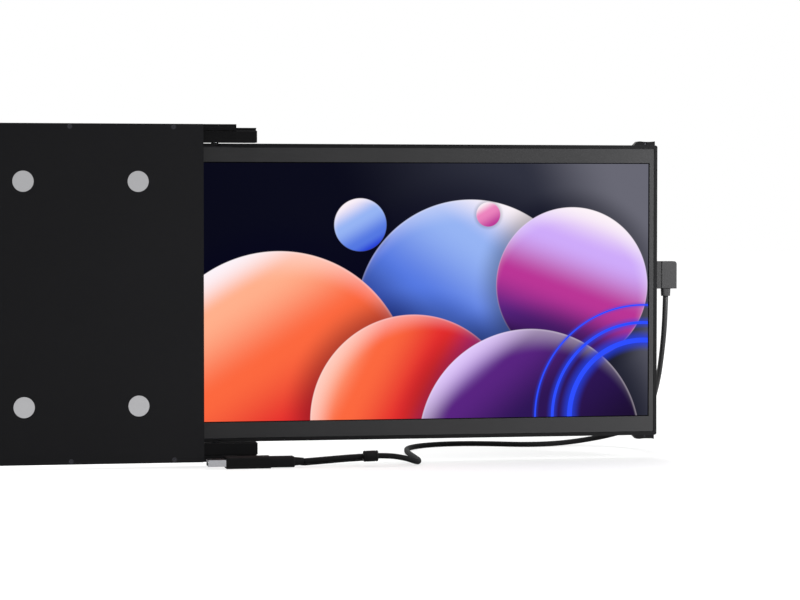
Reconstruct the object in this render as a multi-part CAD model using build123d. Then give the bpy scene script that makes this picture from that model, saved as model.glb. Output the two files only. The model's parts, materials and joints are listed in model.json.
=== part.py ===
from build123d import *
import math
import os

os.makedirs("parts", exist_ok=True)

# Laptop screen extender: a second monitor that slides out sideways from behind a laptop's lid and swivels.
# The origin is the centre of the slide plate's front face, which is held against the back of the lid.
# X runs to the right along the rails, Y runs away from the user and Z runs up. Lengths are in millimetres.

# ---- slide plate and what is on it
PLATE_LENGTH = 315.5
PLATE_THICKNESS = 2.0
PLATE_CORNER_RADIUS = 1.0
MAGNET_DIAMETER = 14.0
MAGNET_THICKNESS = 1.2
MAGNET_COLUMNS = 4
MAGNET_ROWS = 2
MAGNET_PITCH_X = 76.0
MAGNET_PITCH_Z = 150.0
MAGNET_FIT = 0.05
FELT_THICKNESS = 0.5
FELT_LENGTH = 250.0
FELT_WIDTH = 8.0
FELT_PITCH = 120.0
FELT_LEFT_INSET = 10.0

# ---- T-slot rails
RAIL_DEPTH = 16.0
RAIL_PAST_PIVOT = 13.4
RAIL_ROOF = 2.2
RAIL_CAVITY_HEIGHT = 1.1
RAIL_LIP_THICKNESS = 0.8
RAIL_FRONT_WALL = 3.0
RAIL_REAR_WALL = 1.0
RAIL_FRONT_LIP = 1.2
RAIL_REAR_LIP = 1.0
RAIL_EDGE_RADIUS = 0.8
RAIL_GROOVE_WIDTH = 0.4
RAIL_GROOVE_DEPTH = 0.3
RAIL_GROOVE_DROP = 1.8
SLIDE_CLEARANCE = 0.1

# ---- end cap
CAP_THICKNESS = 3.0
CAP_EDGE_RADIUS = 0.8

# ---- screws and pins of the slide
PLATE_SCREW_DIAMETER = 1.6
PLATE_SCREW_HEAD = 3.2
PLATE_SCREW_COUNT = 5
PLATE_SCREW_END_INSET = 20.0
CAP_SCREW_DIAMETER = 1.4
CAP_SCREW_HEAD = 2.8
CAP_SCREW_GRIP = 6.0
STOP_PIN_DIAMETER = 2.0
STOP_PIN_FROM_RAIL_END = 7.6
STOP_PIN_TIP_GAP = 0.3
STOP_GROOVE_CLEARANCE = 0.2
SCREW_FIT = 0.05
SOCKET_ACROSS = 0.9
SOCKET_DEPTH = 0.6
SCREW_RIM = 0.2
SCREW_TIP_GAP = 0.2
CUT_PAST = 0.1

# ---- sliders
PIVOT_PAST_PLATE = 9.0
SLIDER_HEIGHT = 8.0
SLIDER_BACK = 24.0
SLIDER_FRONT = 27.6
SLIDER_FRONT_INSET = 1.2
SLIDER_REAR_INSET = 0.4
SLIDER_HEAD_SHORTER = 0.4
SLIDER_EDGE_RADIUS = 0.5
SLIDER_POCKET_WALL = 1.8
SLIDER_POCKET_FLOOR = 6.0
SLIDER_PIVOT_BOSS = 5.0
SLIDER_END_CHAMFER = 0.8

# ---- swivel hinge
PIVOT_DEPTH = 5.0
HINGE_GAP = 0.6
HINGE_PIN_DIAMETER = 3.0
HINGE_PIN_HEAD = 4.4
HINGE_PIN_HEAD_THICKNESS = 1.2
HINGE_PIN_HEAD_COVER = 1.7
HINGE_PIN_TIP = 0.4
HINGE_RUNNING_FIT = 0.05
HINGE_SEAT_FIT = 0.02
WASHER_DIAMETER = 5.0
WASHER_THICKNESS = 0.5
BUSHING_BARREL = 5.0
BUSHING_FLANGE = 8.0
BUSHING_FLANGE_THICKNESS = 0.8
BUSHING_PAST_BRACKET = 0.3
BRACKET_THICKNESS = 1.5
BRACKET_LENGTH = 24.0
BRACKET_HEIGHT = 13.0
BRACKET_BEND_RADIUS = 1.0
BRACKET_FRONT_INSET = 1.2
BRACKET_SCREW_PITCH = 16.0
BRACKET_SCREW_DROP = 1.0
BRACKET_SCREW_TIP_COVER = 0.1

# ---- monitor case
BORDER_LEFT = 5.8
BORDER_RIGHT = 5.7
BORDER_TOP = 12.3
BORDER_BOTTOM = 13.1
MONITOR_THICKNESS = 9.6
MONITOR_BEHIND_PLATE = 6.0
MONITOR_LEFT_OF_PIVOT = 15.8
CASE_WALL = 2.2
CASE_FLOOR = 1.2
CASE_CORNER_RADIUS = 1.5
CASE_REAR_EDGE_RADIUS = 1.0
CASE_RIB_THICKNESS = 1.2
CASE_RIB_COUNT = 5
CASE_RIB_FROM_PIVOT = 30.0
CASE_RIB_FROM_VENTS = 17.5
CASE_LEDGE_WIDTH = 1.6
CASE_LEDGE_CLEAR_OF_HINGE = 34.0
NOTCH_CHORD = 8.8
NOTCH_DEPTH = 1.9
NOTCH_FROM_PIVOT = 0.4
VENT_COUNT = 9
VENT_LENGTH = 16.0
VENT_WIDTH = 1.4
VENT_PITCH = 4.0

# ---- bezel and display
DISPLAY_WIDTH = 312.5
DISPLAY_HEIGHT = 176.0
BEZEL_THICKNESS = 0.8
BEZEL_PROUD = 0.2
BEZEL_GAP = 0.4
TAPE_THICKNESS = 0.1
TAPE_INSET = 0.6
GLASS_FRONT_THICKNESS = 0.6
GLASS_REAR_THICKNESS = 0.7
GLASS_BORDER = 2.0
GLASS_LEDGE = 7.0
GUIDE_THICKNESS = 1.4
GUIDE_INSET = 0.5
TRAY_SHEET = 0.4
TRAY_GAP = 0.2
TRAY_WALL_SET_BACK = 0.3
LED_COUNT = 24
LED_LENGTH = 3.0
LED_HEIGHT = 1.0
LED_THICKNESS = 0.8
LED_STRIP_WIDTH = 3.4
LED_GAP = 0.3

# ---- electronics
BOARD_THICKNESS = 0.8
BOARD_WIDTH = 42.0
BOARD_HEIGHT = 80.0
BOARD_GAP_TO_CASE = 0.5
BOARD_CENTRE_Z = 10.0
BOARD_BOSS_HEIGHT = 1.0
BOARD_BOSS_DIAMETER = 4.4
BOARD_SCREW_INSET = 3.5
BOARD_SCREW_DIAMETER = 1.4
BOARD_SCREW_HEAD = 2.8
BOARD_SCREW_HEAD_THICKNESS = 0.8
BOARD_SCREW_TIP_COVER = 0.5
SCALER_CHIP = 14.0
POWER_CHIP = 6.0
CHIP_THICKNESS = 1.1
INDUCTOR_SIDE = 4.0
INDUCTOR_THICKNESS = 1.9
INDUCTOR_PITCH = 6.0
INDUCTOR_FROM_POWER_CHIP = 9.0
CHIP_FROM_BOARD_EDGE = 12.6
FLEX_THICKNESS = 0.2
FLEX_WIDTH = 26.0
FLEX_BOND = 3.0
FLEX_BEND_RADIUS = 0.9
FLEX_CLEARANCE = 0.3
CONNECTOR_HEIGHT = 4.0
CONNECTOR_FROM_BOARD_EDGE = 1.0

# ---- USB-C ports and their plug
PORT_WIDTH = 8.94
PORT_THICKNESS = 3.2
PORT_LENGTH = 7.3
PORT_WALL = 0.25
PORT_TONGUE_WIDTH = 6.7
PORT_TONGUE_THICKNESS = 0.7
PORT_TONGUE_LENGTH = 5.4
PORT_OPENING_CLEARANCE = 0.12
PORT_BEHIND_BEZEL = 5.8
PORT_RECESS = 0.5
PORT_Z = 10.5
PORT_PITCH = 29.5
PLUG_SHELL_WIDTH = 8.25
PLUG_SHELL_THICKNESS = 2.4
PLUG_SHELL_LENGTH = 6.65
PLUG_SHELL_WALL = 0.3
PLUG_SHELL_BORE = 5.6
PLUG_LENGTH = 14.8
PLUG_HEIGHT = 19.1
PLUG_THICKNESS = 6.8
PLUG_GAP = 0.2
PLUG_ABOVE_PORT = 9.7
PLUG_CORNER_RADIUS = 2.0
PLUG_EDGE_RADIUS = 0.5
PLUG_STEP_WIDTH = 4.0
PLUG_STEP_DEPTH = 0.5
RELIEF_PAST_STEP = 0.3
RELIEF_LENGTH = 5.15
RELIEF_WIDTH = 6.6
RELIEF_THICKNESS = 5.4
RELIEF_TAPER = 0.4
RELIEF_CORNER_RADIUS = 2.0

# ---- keys on the back
KEY_WIDTH = 3.0
KEY_LENGTH = 8.0
KEY_PROUD = 0.3
KEY_FLANGE = 0.6
KEY_FLANGE_THICKNESS = 0.45
KEY_CLEARANCE = 0.12
KEY_TRAVEL = 0.6
KEY_SWITCH_GAP = 0.1
KEY_PITCH = 13.0
KEY_FROM_CASE_TOP = 14.7
KEY_FROM_CASE_EDGE = 13.2
SWITCH_SIDE = 3.0
SWITCH_THICKNESS = 1.5
SWITCH_STEM = 0.5
KEY_BOARD_WIDTH = 8.0
KEY_BOARD_MARGIN = 5.0
KEY_BOARD_BOSS = 3.0

# ---- corner bumpers
BUMPER_LEFT = 17.1
BUMPER_HEIGHT = 2.8
BUMPER_SADDLE = 0.35
BUMPER_RAMP = 2.6
BUMPER_RAMP_DROP = 0.2
BUMPER_CREST = 2.0
BUMPER_LENGTH = 15.3
BUMPER_DEPTH = 5.4
BUMPER_INSET_Y = 0.2
BUMPER_STUD_DIAMETER = 2.4
BUMPER_STUD_LENGTH = 1.6
BUMPER_STUD_PITCH = 7.0
BUMPER_PIN_DIAMETER = 1.6
BUMPER_PIN_FROM_CASE = 1.0
BUMPER_PIN_FROM_LEFT = 8.7
BUMPER_PIN_RECESS = 0.8

# ---- cord and its laptop end
CABLE_DIAMETER = 3.8
DESK_BELOW_FRAME = 3.8
CORD_LINE_Y = -9.0
COLLAR_LENGTH = 10.0
COLLAR_DIAMETER = 7.4
COLLAR_BORE_CLEARANCE = 0.15
ADAPTER_LENGTH = 30.0
ADAPTER_WIDTH = 14.0
ADAPTER_HEIGHT = 7.8
ADAPTER_ABOVE_DESK = 0.4
ADAPTER_LEFT = 4.0
ADAPTER_EDGE_RADIUS = 1.2
HOST_PLUG_LENGTH = 16.5
HOST_PLUG_WIDTH = 12.0
HOST_PLUG_HEIGHT = 7.2
HOST_RELIEF_LENGTH = 6.5
HOST_RELIEF_DIAMETER = 6.0
HOST_RELIEF_END = 4.7
USB_A_WIDTH = 12.0
USB_A_HEIGHT = 4.5
USB_A_LENGTH = 12.0
USB_A_WALL = 0.4
USB_A_TONGUE = 1.8
STRAP_WIDTH = 3.0
STRAP_THICKNESS = 1.0
STRAP_BELOW_CABLE = 0.15
STRAP_JOG_FROM_RELIEF = 1.0
STRAP_END_GAP = 0.3
STRAP_JOG_DROP = 0.75

# ---- places worked out from the sizes above
PIVOT_X = PLATE_LENGTH / 2 + PIVOT_PAST_PLATE
PLATE_LEFT = -PLATE_LENGTH / 2
PLATE_RIGHT = PLATE_LENGTH / 2
RAIL_RIGHT = PIVOT_X + RAIL_PAST_PIVOT
RAIL_FRONT = PLATE_THICKNESS
RAIL_REAR = RAIL_FRONT + RAIL_DEPTH

MONITOR_LENGTH = BORDER_LEFT + DISPLAY_WIDTH + BORDER_RIGHT
MONITOR_HEIGHT = BORDER_BOTTOM + DISPLAY_HEIGHT + BORDER_TOP
CASE_TOP = MONITOR_HEIGHT / 2
SLIDER_LOW = CASE_TOP + HINGE_GAP
SLIDER_HIGH = SLIDER_LOW + SLIDER_HEIGHT
RAIL_LOW = SLIDER_HIGH + SLIDE_CLEARANCE
CAVITY_LOW = RAIL_LOW + RAIL_LIP_THICKNESS
CAVITY_HIGH = CAVITY_LOW + RAIL_CAVITY_HEIGHT
FRAME_TOP = CAVITY_HIGH + RAIL_ROOF
HEAD_LOW = CAVITY_LOW + SLIDE_CLEARANCE
HEAD_HIGH = CAVITY_HIGH - SLIDE_CLEARANCE
CAVITY_FRONT = RAIL_FRONT + RAIL_FRONT_WALL
CAVITY_REAR = RAIL_REAR - RAIL_REAR_WALL
SLOT_FRONT = CAVITY_FRONT + RAIL_FRONT_LIP
SLOT_REAR = CAVITY_REAR - RAIL_REAR_LIP
RAIL_WALL_Y = (RAIL_FRONT + CAVITY_FRONT) / 2
RAIL_WALL_Z = (RAIL_LOW + FRAME_TOP) / 2

BEZEL_FRONT = PLATE_THICKNESS + MONITOR_BEHIND_PLATE
CASE_FRONT = BEZEL_FRONT + BEZEL_PROUD
CASE_REAR = BEZEL_FRONT + MONITOR_THICKNESS
FLOOR_FRONT = CASE_REAR - CASE_FLOOR
PIVOT_Y = BEZEL_FRONT + PIVOT_DEPTH
CASE_LEFT = PIVOT_X - MONITOR_LEFT_OF_PIVOT
CASE_RIGHT = CASE_LEFT + MONITOR_LENGTH
INNER_LEFT = CASE_LEFT + CASE_WALL
INNER_RIGHT = CASE_RIGHT - CASE_WALL
INNER_TOP = CASE_TOP - CASE_WALL

DISPLAY_LEFT = CASE_LEFT + BORDER_LEFT
DISPLAY_RIGHT = CASE_RIGHT - BORDER_RIGHT
DISPLAY_LOW = BORDER_BOTTOM - CASE_TOP
DISPLAY_HIGH = CASE_TOP - BORDER_TOP
BEZEL_REAR = BEZEL_FRONT + BEZEL_THICKNESS
GLASS_FRONT = BEZEL_REAR + TAPE_THICKNESS
GLASS_MIDDLE = GLASS_FRONT + GLASS_FRONT_THICKNESS
GLASS_REAR = GLASS_MIDDLE + GLASS_REAR_THICKNESS
GUIDE_REAR = GLASS_REAR + GUIDE_THICKNESS
TRAY_REAR = GUIDE_REAR + TRAY_SHEET
GLASS_LEFT = DISPLAY_LEFT - GLASS_BORDER
GLASS_RIGHT = DISPLAY_RIGHT + GLASS_BORDER
GLASS_HIGH = DISPLAY_HIGH + GLASS_BORDER
COVER_GLASS_LOW = DISPLAY_LOW - GLASS_BORDER / 2
GLASS_LOW = COVER_GLASS_LOW - GLASS_LEDGE

BRACKET_LEAF = INNER_TOP - BRACKET_THICKNESS
BUSHING_END = BRACKET_LEAF - BUSHING_PAST_BRACKET
BRACKET_REAR_LEAF = FLOOR_FRONT - BRACKET_THICKNESS
BRACKET_SCREW_Z = BRACKET_LEAF - (BRACKET_HEIGHT - BRACKET_THICKNESS) / 2 - BRACKET_SCREW_DROP

PORT_Y = BEZEL_FRONT + PORT_BEHIND_BEZEL
PORT_MOUTH = CASE_RIGHT - PORT_RECESS
PORT_PLACES = [PORT_Z, PORT_Z + PORT_PITCH]
BOARD_REAR = FLOOR_FRONT - BOARD_BOSS_HEIGHT
BOARD_FRONT = BOARD_REAR - BOARD_THICKNESS
BOARD_RIGHT = INNER_RIGHT - BOARD_GAP_TO_CASE
BOARD_LEFT = BOARD_RIGHT - BOARD_WIDTH
BOARD_LOW = BOARD_CENTRE_Z - BOARD_HEIGHT / 2
BOARD_HIGH = BOARD_CENTRE_Z + BOARD_HEIGHT / 2
FLEX_X = (BOARD_LEFT + BOARD_RIGHT) / 2
FLEX_FRONT = TRAY_REAR + FLEX_CLEARANCE / 2
FLEX_REAR = FLEX_FRONT + FLEX_THICKNESS
FLEX_TOP = BOARD_LOW + CONNECTOR_FROM_BOARD_EDGE + CONNECTOR_HEIGHT
VENT_LEFT = BOARD_LEFT - VENT_PITCH * (VENT_COUNT + 1)

KEY_X = CASE_RIGHT - KEY_FROM_CASE_EDGE
KEY_HIGHEST_Z = CASE_TOP - KEY_FROM_CASE_TOP
KEY_PLACES = [KEY_HIGHEST_Z - KEY_PITCH * i for i in (2, 1, 0)]
KEY_FLANGE_REAR = FLOOR_FRONT - KEY_CLEARANCE / 2
KEY_FLANGE_FRONT = KEY_FLANGE_REAR - KEY_FLANGE_THICKNESS
SWITCH_REAR = KEY_FLANGE_FRONT - KEY_TRAVEL - KEY_SWITCH_GAP
SWITCH_FRONT = SWITCH_REAR - SWITCH_THICKNESS
KEY_BOARD_LOW = KEY_PLACES[0] - KEY_LENGTH / 2 - KEY_BOARD_MARGIN
KEY_BOARD_HIGH = KEY_PLACES[-1] + KEY_LENGTH / 2 + KEY_BOARD_MARGIN

PLUG_LEFT = CASE_RIGHT + PLUG_GAP
PLUG_RIGHT = PLUG_LEFT + PLUG_LENGTH
PLUG_HIGH = PORT_Z + PLUG_ABOVE_PORT
PLUG_LOW = PLUG_HIGH - PLUG_HEIGHT
RELIEF_X = PLUG_LEFT + PLUG_STEP_WIDTH + RELIEF_PAST_STEP + RELIEF_WIDTH / 2
RELIEF_LOW = PLUG_LOW - RELIEF_LENGTH
BUMPER_START = CASE_RIGHT - BUMPER_LEFT
BUMPER_FRONT = CASE_FRONT + BUMPER_INSET_Y

FRAME_BOTTOM = -FRAME_TOP
DESK = FRAME_BOTTOM - DESK_BELOW_FRAME
ADAPTER_RIGHT = ADAPTER_LEFT + ADAPTER_LENGTH
HOST_PLUG_RIGHT = ADAPTER_RIGHT + HOST_PLUG_LENGTH
HOST_RELIEF_RIGHT = HOST_PLUG_RIGHT + HOST_RELIEF_LENGTH
HOST_LINE = ADAPTER_ABOVE_DESK + ADAPTER_HEIGHT / 2
HOST_Z = DESK + HOST_LINE
ON_DESK = CABLE_DIAMETER / 2

# Route of the cord, chosen by hand: x from the pivot, y, and height above the desk. It drops out of the
# plug's strain relief behind the monitor, lies on the desk, comes forward in one loop and runs left to its
# laptop end.
CABLE_ROUTE = [
    (RELIEF_X - PIVOT_X, PORT_Y, RELIEF_LOW - DESK),
    (RELIEF_X - PIVOT_X, PORT_Y, 95.3),
    (316.4, 18.5, 73.3),
    (318.4, 31.0, 51.3),
    (319.5, 54.0, 30.8),
    (316.5, 82.0, 15.8),
    (304.0, 103.0, 8.5),
    (285.0, 113.0, 3.9),
    (262.0, 112.0, ON_DESK),
    (238.0, 108.0, ON_DESK),
    (214.0, 121.0, ON_DESK),
    (190.0, 126.0, ON_DESK),
    (166.0, 119.0, ON_DESK),
    (148.5, 99.0, ON_DESK),
    (142.0, 72.0, ON_DESK),
    (141.0, 46.0, ON_DESK),
    (143.0, 20.0, ON_DESK),
    (140.5, 0.5, 2.1),
    (130.5, -10.5, 4.6),
    (114.0, -12.0, 7.6),
    (91.0, -10.8, 7.8),
    (73.0, CORD_LINE_Y, HOST_LINE),
    (HOST_RELIEF_RIGHT, CORD_LINE_Y, HOST_LINE),
]
COLLAR_RUN = 19


# ---- drawing helpers
def rect(x0, x1, z0, z1):
    """A rectangle from its low and high sides."""
    return Pos((x0 + x1) / 2, (z0 + z1) / 2) * Rectangle(x1 - x0, z1 - z0)


def round_rect(x0, x1, z0, z1, radius):
    """A rectangle with round corners, from its low and high sides."""
    return Pos((x0 + x1) / 2, (z0 + z1) / 2) * RectangleRounded(x1 - x0, z1 - z0, radius)


def slot(x, z, width, length):
    """An upright slot with round ends."""
    return Pos(x, z) * Rot(0, 0, 90) * SlotOverall(length, width)


def along_x(sketch, x0, x1):
    """Extrudes a sketch of (y, z) from x0 to x1."""
    return extrude(Plane(origin=(x0, 0, 0), x_dir=(0, 1, 0), z_dir=(1, 0, 0)) * sketch, amount=x1 - x0)


def along_y(sketch, y0, y1):
    """Extrudes a sketch of (x, z) from y0 to y1."""
    return extrude(Plane(origin=(0, y1, 0), x_dir=(1, 0, 0), z_dir=(0, -1, 0)) * sketch, amount=y1 - y0)


def along_z(sketch, z0, z1):
    """Extrudes a sketch of (x, y) from z0 to z1."""
    return extrude(Plane.XY.offset(z0) * sketch, amount=z1 - z0)


def turned(profile, place):
    """Revolves a profile of (radius, height) and puts its axis on a location's Z."""
    return place * revolve(Plane.XZ * make_face(Polyline(*profile, close=True)), Axis.Z)


def facing_front(x, y, z):
    """A location whose Z points along -Y."""
    return Location(Plane(origin=(x, y, z), x_dir=(1, 0, 0), z_dir=(0, -1, 0)))


def facing_rear(x, y, z):
    """A location whose Z points along +Y."""
    return Location(Plane(origin=(x, y, z), x_dir=(1, 0, 0), z_dir=(0, 1, 0)))


def facing_left(x, y, z):
    """A location whose Z points along -X."""
    return Location(Plane(origin=(x, y, z), x_dir=(0, 1, 0), z_dir=(-1, 0, 0)))


def flipped(shape):
    """The same piece on the other rail."""
    return mirror(shape, Plane.XY)


def both(shape):
    """A piece on the top rail and its twin on the bottom rail."""
    return [shape, flipped(shape)]


def group(solids):
    """Separate solids as one node."""
    return Compound(children=list(solids))


def countersunk_screw(place, diameter, head, length):
    """A flat-head screw with a square socket; its head's face is at the location, and it runs along -Z."""
    cone = (head - diameter) / 2
    outline = [
        (0, 0),
        (head / 2, 0),
        (head / 2, -SCREW_RIM),
        (diameter / 2, -SCREW_RIM - cone),
        (diameter / 2, -length + diameter / 4),
        (diameter / 4, -length),
        (0, -length),
    ]
    socket = place * Pos(0, 0, -SOCKET_DEPTH / 2) * Box(SOCKET_ACROSS, SOCKET_ACROSS, SOCKET_DEPTH)
    return turned(outline, place) - socket


def countersink(place, diameter, head, length):
    """The hole that a flat-head screw sits in."""
    cone = (head - diameter) / 2
    outline = [
        (0, CUT_PAST),
        (head / 2 + SCREW_FIT, CUT_PAST),
        (head / 2 + SCREW_FIT, -SCREW_RIM),
        (diameter / 2 + SCREW_FIT, -SCREW_RIM - cone),
        (diameter / 2 + SCREW_FIT, -length),
        (0, -length),
    ]
    return turned(outline, place)


# ---- slide plate, rails and end cap
def magnet_places():
    """Front-face places of the plate's magnets."""
    columns = [(i - (MAGNET_COLUMNS - 1) / 2) * MAGNET_PITCH_X for i in range(MAGNET_COLUMNS)]
    rows = [(i - (MAGNET_ROWS - 1) / 2) * MAGNET_PITCH_Z for i in range(MAGNET_ROWS)]
    return [(x, z) for x in columns for z in rows]


def plate_screw_places():
    """Front-face places of the screws that hold the plate to the top rail."""
    run = PLATE_LENGTH - 2 * PLATE_SCREW_END_INSET
    step = run / (PLATE_SCREW_COUNT - 1)
    return [facing_front(PLATE_LEFT + PLATE_SCREW_END_INSET + step * i, 0, RAIL_WALL_Z)
            for i in range(PLATE_SCREW_COUNT)]


PLATE_SCREW_LENGTH = PLATE_THICKNESS + RAIL_FRONT_WALL - SCREW_TIP_GAP


def make_front_plate():
    """Sheet that is held against the lid, with pockets for its magnets."""
    outline = round_rect(PLATE_LEFT, PLATE_RIGHT, FRAME_BOTTOM, FRAME_TOP, PLATE_CORNER_RADIUS)
    plate = along_y(outline, 0, PLATE_THICKNESS)
    for x, z in magnet_places():
        plate -= along_y(Pos(x, z) * Circle(MAGNET_DIAMETER / 2 + MAGNET_FIT), 0, MAGNET_THICKNESS)
    for place in plate_screw_places():
        hole = countersink(place, PLATE_SCREW_DIAMETER, PLATE_SCREW_HEAD, PLATE_THICKNESS + CUT_PAST)
        plate -= hole
        plate -= flipped(hole)
    return plate


def make_lid_magnets():
    """Disc magnets, flush with the plate's front face."""
    return group(along_y(Pos(x, z) * Circle(MAGNET_DIAMETER / 2), 0, MAGNET_THICKNESS)
                 for x, z in magnet_places())


def make_felt_pads():
    """Two strips that keep the stowed monitor from rubbing on the plate."""
    left = PLATE_LEFT + FELT_LEFT_INSET
    strip = round_rect(left, left + FELT_LENGTH, FELT_PITCH / 2 - FELT_WIDTH / 2,
                       FELT_PITCH / 2 + FELT_WIDTH / 2, FELT_WIDTH / 4)
    return group(both(along_y(strip, PLATE_THICKNESS, PLATE_THICKNESS + FELT_THICKNESS)))


def stop_pin_x():
    """Where the pin stands that stops the slide at full reach."""
    return RAIL_RIGHT - STOP_PIN_FROM_RAIL_END


def stop_pin_y():
    """Middle of the T slot."""
    return (SLOT_FRONT + SLOT_REAR) / 2


def make_top_rail():
    """Extruded C channel whose lips hold the slider's T head."""
    outline = rect(RAIL_FRONT, RAIL_REAR, RAIL_LOW, FRAME_TOP)
    outline = fillet(outline.vertices().group_by(Axis.X)[-1], RAIL_EDGE_RADIUS)
    outline -= rect(CAVITY_FRONT, CAVITY_REAR, CAVITY_LOW, CAVITY_HIGH)
    outline -= rect(SLOT_FRONT, SLOT_REAR, RAIL_LOW, CAVITY_LOW)
    groove_high = FRAME_TOP - RAIL_GROOVE_DROP
    outline -= rect(RAIL_FRONT, RAIL_FRONT + RAIL_GROOVE_DEPTH, groove_high - RAIL_GROOVE_WIDTH, groove_high)
    rail = along_x(outline, PLATE_LEFT, RAIL_RIGHT)
    for place in plate_screw_places():
        rail -= countersink(place, PLATE_SCREW_DIAMETER, PLATE_SCREW_HEAD, PLATE_SCREW_LENGTH + CUT_PAST)
    rail -= countersink(cap_screw_place(), CAP_SCREW_DIAMETER, CAP_SCREW_HEAD, CAP_THICKNESS + CAP_SCREW_GRIP)
    hole = Pos(stop_pin_x(), stop_pin_y()) * Circle(STOP_PIN_DIAMETER / 2 + HINGE_SEAT_FIT)
    return rail - along_z(hole, CAVITY_HIGH, FRAME_TOP)


def cap_screw_place():
    """Where the end cap is screwed to the end of the top rail's front wall."""
    return facing_left(PLATE_LEFT - CAP_THICKNESS, RAIL_WALL_Y, RAIL_WALL_Z)


def make_end_cap():
    """Wall that closes the stow bay at the left and ties the rails together."""
    outline = rect(0, RAIL_REAR, FRAME_BOTTOM, FRAME_TOP)
    cap = along_x(outline, PLATE_LEFT - CAP_THICKNESS, PLATE_LEFT)
    outer_edges = cap.faces().sort_by(Axis.X)[0].edges()
    cap = fillet(outer_edges, CAP_EDGE_RADIUS)
    hole = countersink(cap_screw_place(), CAP_SCREW_DIAMETER, CAP_SCREW_HEAD, CAP_THICKNESS + CUT_PAST)
    return cap - hole - flipped(hole)


def make_plate_screws():
    """Flat-head screws through the plate into the rails' front walls."""
    screws = [countersunk_screw(place, PLATE_SCREW_DIAMETER, PLATE_SCREW_HEAD, PLATE_SCREW_LENGTH)
              for place in plate_screw_places()]
    return group(solid for screw in screws for solid in both(screw))


def make_cap_screws():
    """One screw from the end cap into each rail."""
    length = CAP_THICKNESS + CAP_SCREW_GRIP - SCREW_TIP_GAP
    return group(both(countersunk_screw(cap_screw_place(), CAP_SCREW_DIAMETER, CAP_SCREW_HEAD, length)))


def make_stop_pins():
    """Dowels in the rails' roofs that catch the end of the slider's groove."""
    circle = Pos(stop_pin_x(), stop_pin_y()) * Circle(STOP_PIN_DIAMETER / 2)
    return group(both(along_z(circle, HEAD_LOW + STOP_PIN_TIP_GAP, FRAME_TOP)))


# ---- sliders and swivel hinge
def make_top_slider():
    """Block under the rail, with a T head that runs in the rail's slot."""
    left = PIVOT_X - SLIDER_BACK
    right = PIVOT_X + SLIDER_FRONT
    head_right = right - SLIDER_HEAD_SHORTER
    front = RAIL_FRONT + SLIDER_FRONT_INSET
    rear = RAIL_REAR - SLIDER_REAR_INSET
    body = along_z(round_rect(left, right, front, rear, SLIDER_EDGE_RADIUS), SLIDER_LOW, SLIDER_HIGH)
    body = chamfer(body.faces().sort_by(Axis.X)[-1].edges().sort_by(Axis.Z)[-1], SLIDER_END_CHAMFER / 2)
    inside = (SLIDER_LOW + SLIDER_POCKET_WALL, SLIDER_HIGH - SLIDER_POCKET_WALL)
    for x0, x1 in ((left + SLIDER_POCKET_WALL, PIVOT_X - SLIDER_PIVOT_BOSS),
                   (PIVOT_X + SLIDER_PIVOT_BOSS, right - SLIDER_POCKET_WALL)):
        pocket = round_rect(x0, x1, inside[0], inside[1], SLIDER_EDGE_RADIUS)
        body -= along_y(pocket, front + SLIDER_POCKET_FLOOR, rear)
    tee = rect(SLOT_FRONT + SLIDE_CLEARANCE, SLOT_REAR - SLIDE_CLEARANCE, SLIDER_HIGH, HEAD_LOW)
    tee += rect(CAVITY_FRONT + SLIDE_CLEARANCE, CAVITY_REAR - SLIDE_CLEARANCE, HEAD_LOW, HEAD_HIGH)
    slider = body + along_x(tee, left, head_right)
    groove_width = STOP_PIN_DIAMETER + 2 * STOP_GROOVE_CLEARANCE
    groove = rect(stop_pin_x(), head_right, stop_pin_y() - groove_width / 2, stop_pin_y() + groove_width / 2)
    groove += Pos(stop_pin_x(), stop_pin_y()) * Circle(groove_width / 2)
    slider -= along_z(groove, HEAD_LOW, HEAD_HIGH)
    bore = Pos(PIVOT_X, PIVOT_Y) * Circle(HINGE_PIN_DIAMETER / 2 + HINGE_SEAT_FIT)
    slider -= along_z(bore, SLIDER_LOW, SLIDER_HIGH)
    counterbore = Pos(PIVOT_X, PIVOT_Y) * Circle(HINGE_PIN_HEAD / 2 + HINGE_SEAT_FIT)
    return slider - along_z(counterbore, SLIDER_HIGH - HINGE_PIN_HEAD_COVER, HEAD_HIGH)


def pivot_place():
    """The swivel axis, at height zero."""
    return Location((PIVOT_X, PIVOT_Y, 0))


def make_hinge_pins():
    """Headed pins, seated in the sliders, on which the monitor swivels."""
    seat = SLIDER_HIGH - HINGE_PIN_HEAD_COVER
    radius = HINGE_PIN_DIAMETER / 2
    tip = BUSHING_END + HINGE_PIN_TIP
    outline = [
        (0, tip),
        (radius - HINGE_PIN_TIP, tip),
        (radius, tip + HINGE_PIN_TIP),
        (radius, seat),
        (HINGE_PIN_HEAD / 2, seat),
        (HINGE_PIN_HEAD / 2, seat + HINGE_PIN_HEAD_THICKNESS),
        (0, seat + HINGE_PIN_HEAD_THICKNESS),
    ]
    return group(both(turned(outline, pivot_place())))


def make_friction_washers():
    """Washers in the gap between the sliders and the monitor that hold its angle."""
    ring = Circle(WASHER_DIAMETER / 2) - Circle(HINGE_PIN_DIAMETER / 2 + HINGE_RUNNING_FIT)
    low = CASE_TOP
    return group(both(along_z(Pos(PIVOT_X, PIVOT_Y) * ring, low, low + WASHER_THICKNESS)))


def make_hinge_bushings():
    """Flanged bushings in the case's top and bottom walls."""
    bore = HINGE_PIN_DIAMETER / 2 + HINGE_RUNNING_FIT
    under_flange = CASE_TOP - BUSHING_FLANGE_THICKNESS
    outline = [
        (bore, BUSHING_END),
        (BUSHING_BARREL / 2, BUSHING_END),
        (BUSHING_BARREL / 2, under_flange),
        (BUSHING_FLANGE / 2, under_flange),
        (BUSHING_FLANGE / 2, CASE_TOP),
        (bore, CASE_TOP),
    ]
    return group(both(turned(outline, pivot_place())))


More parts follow.
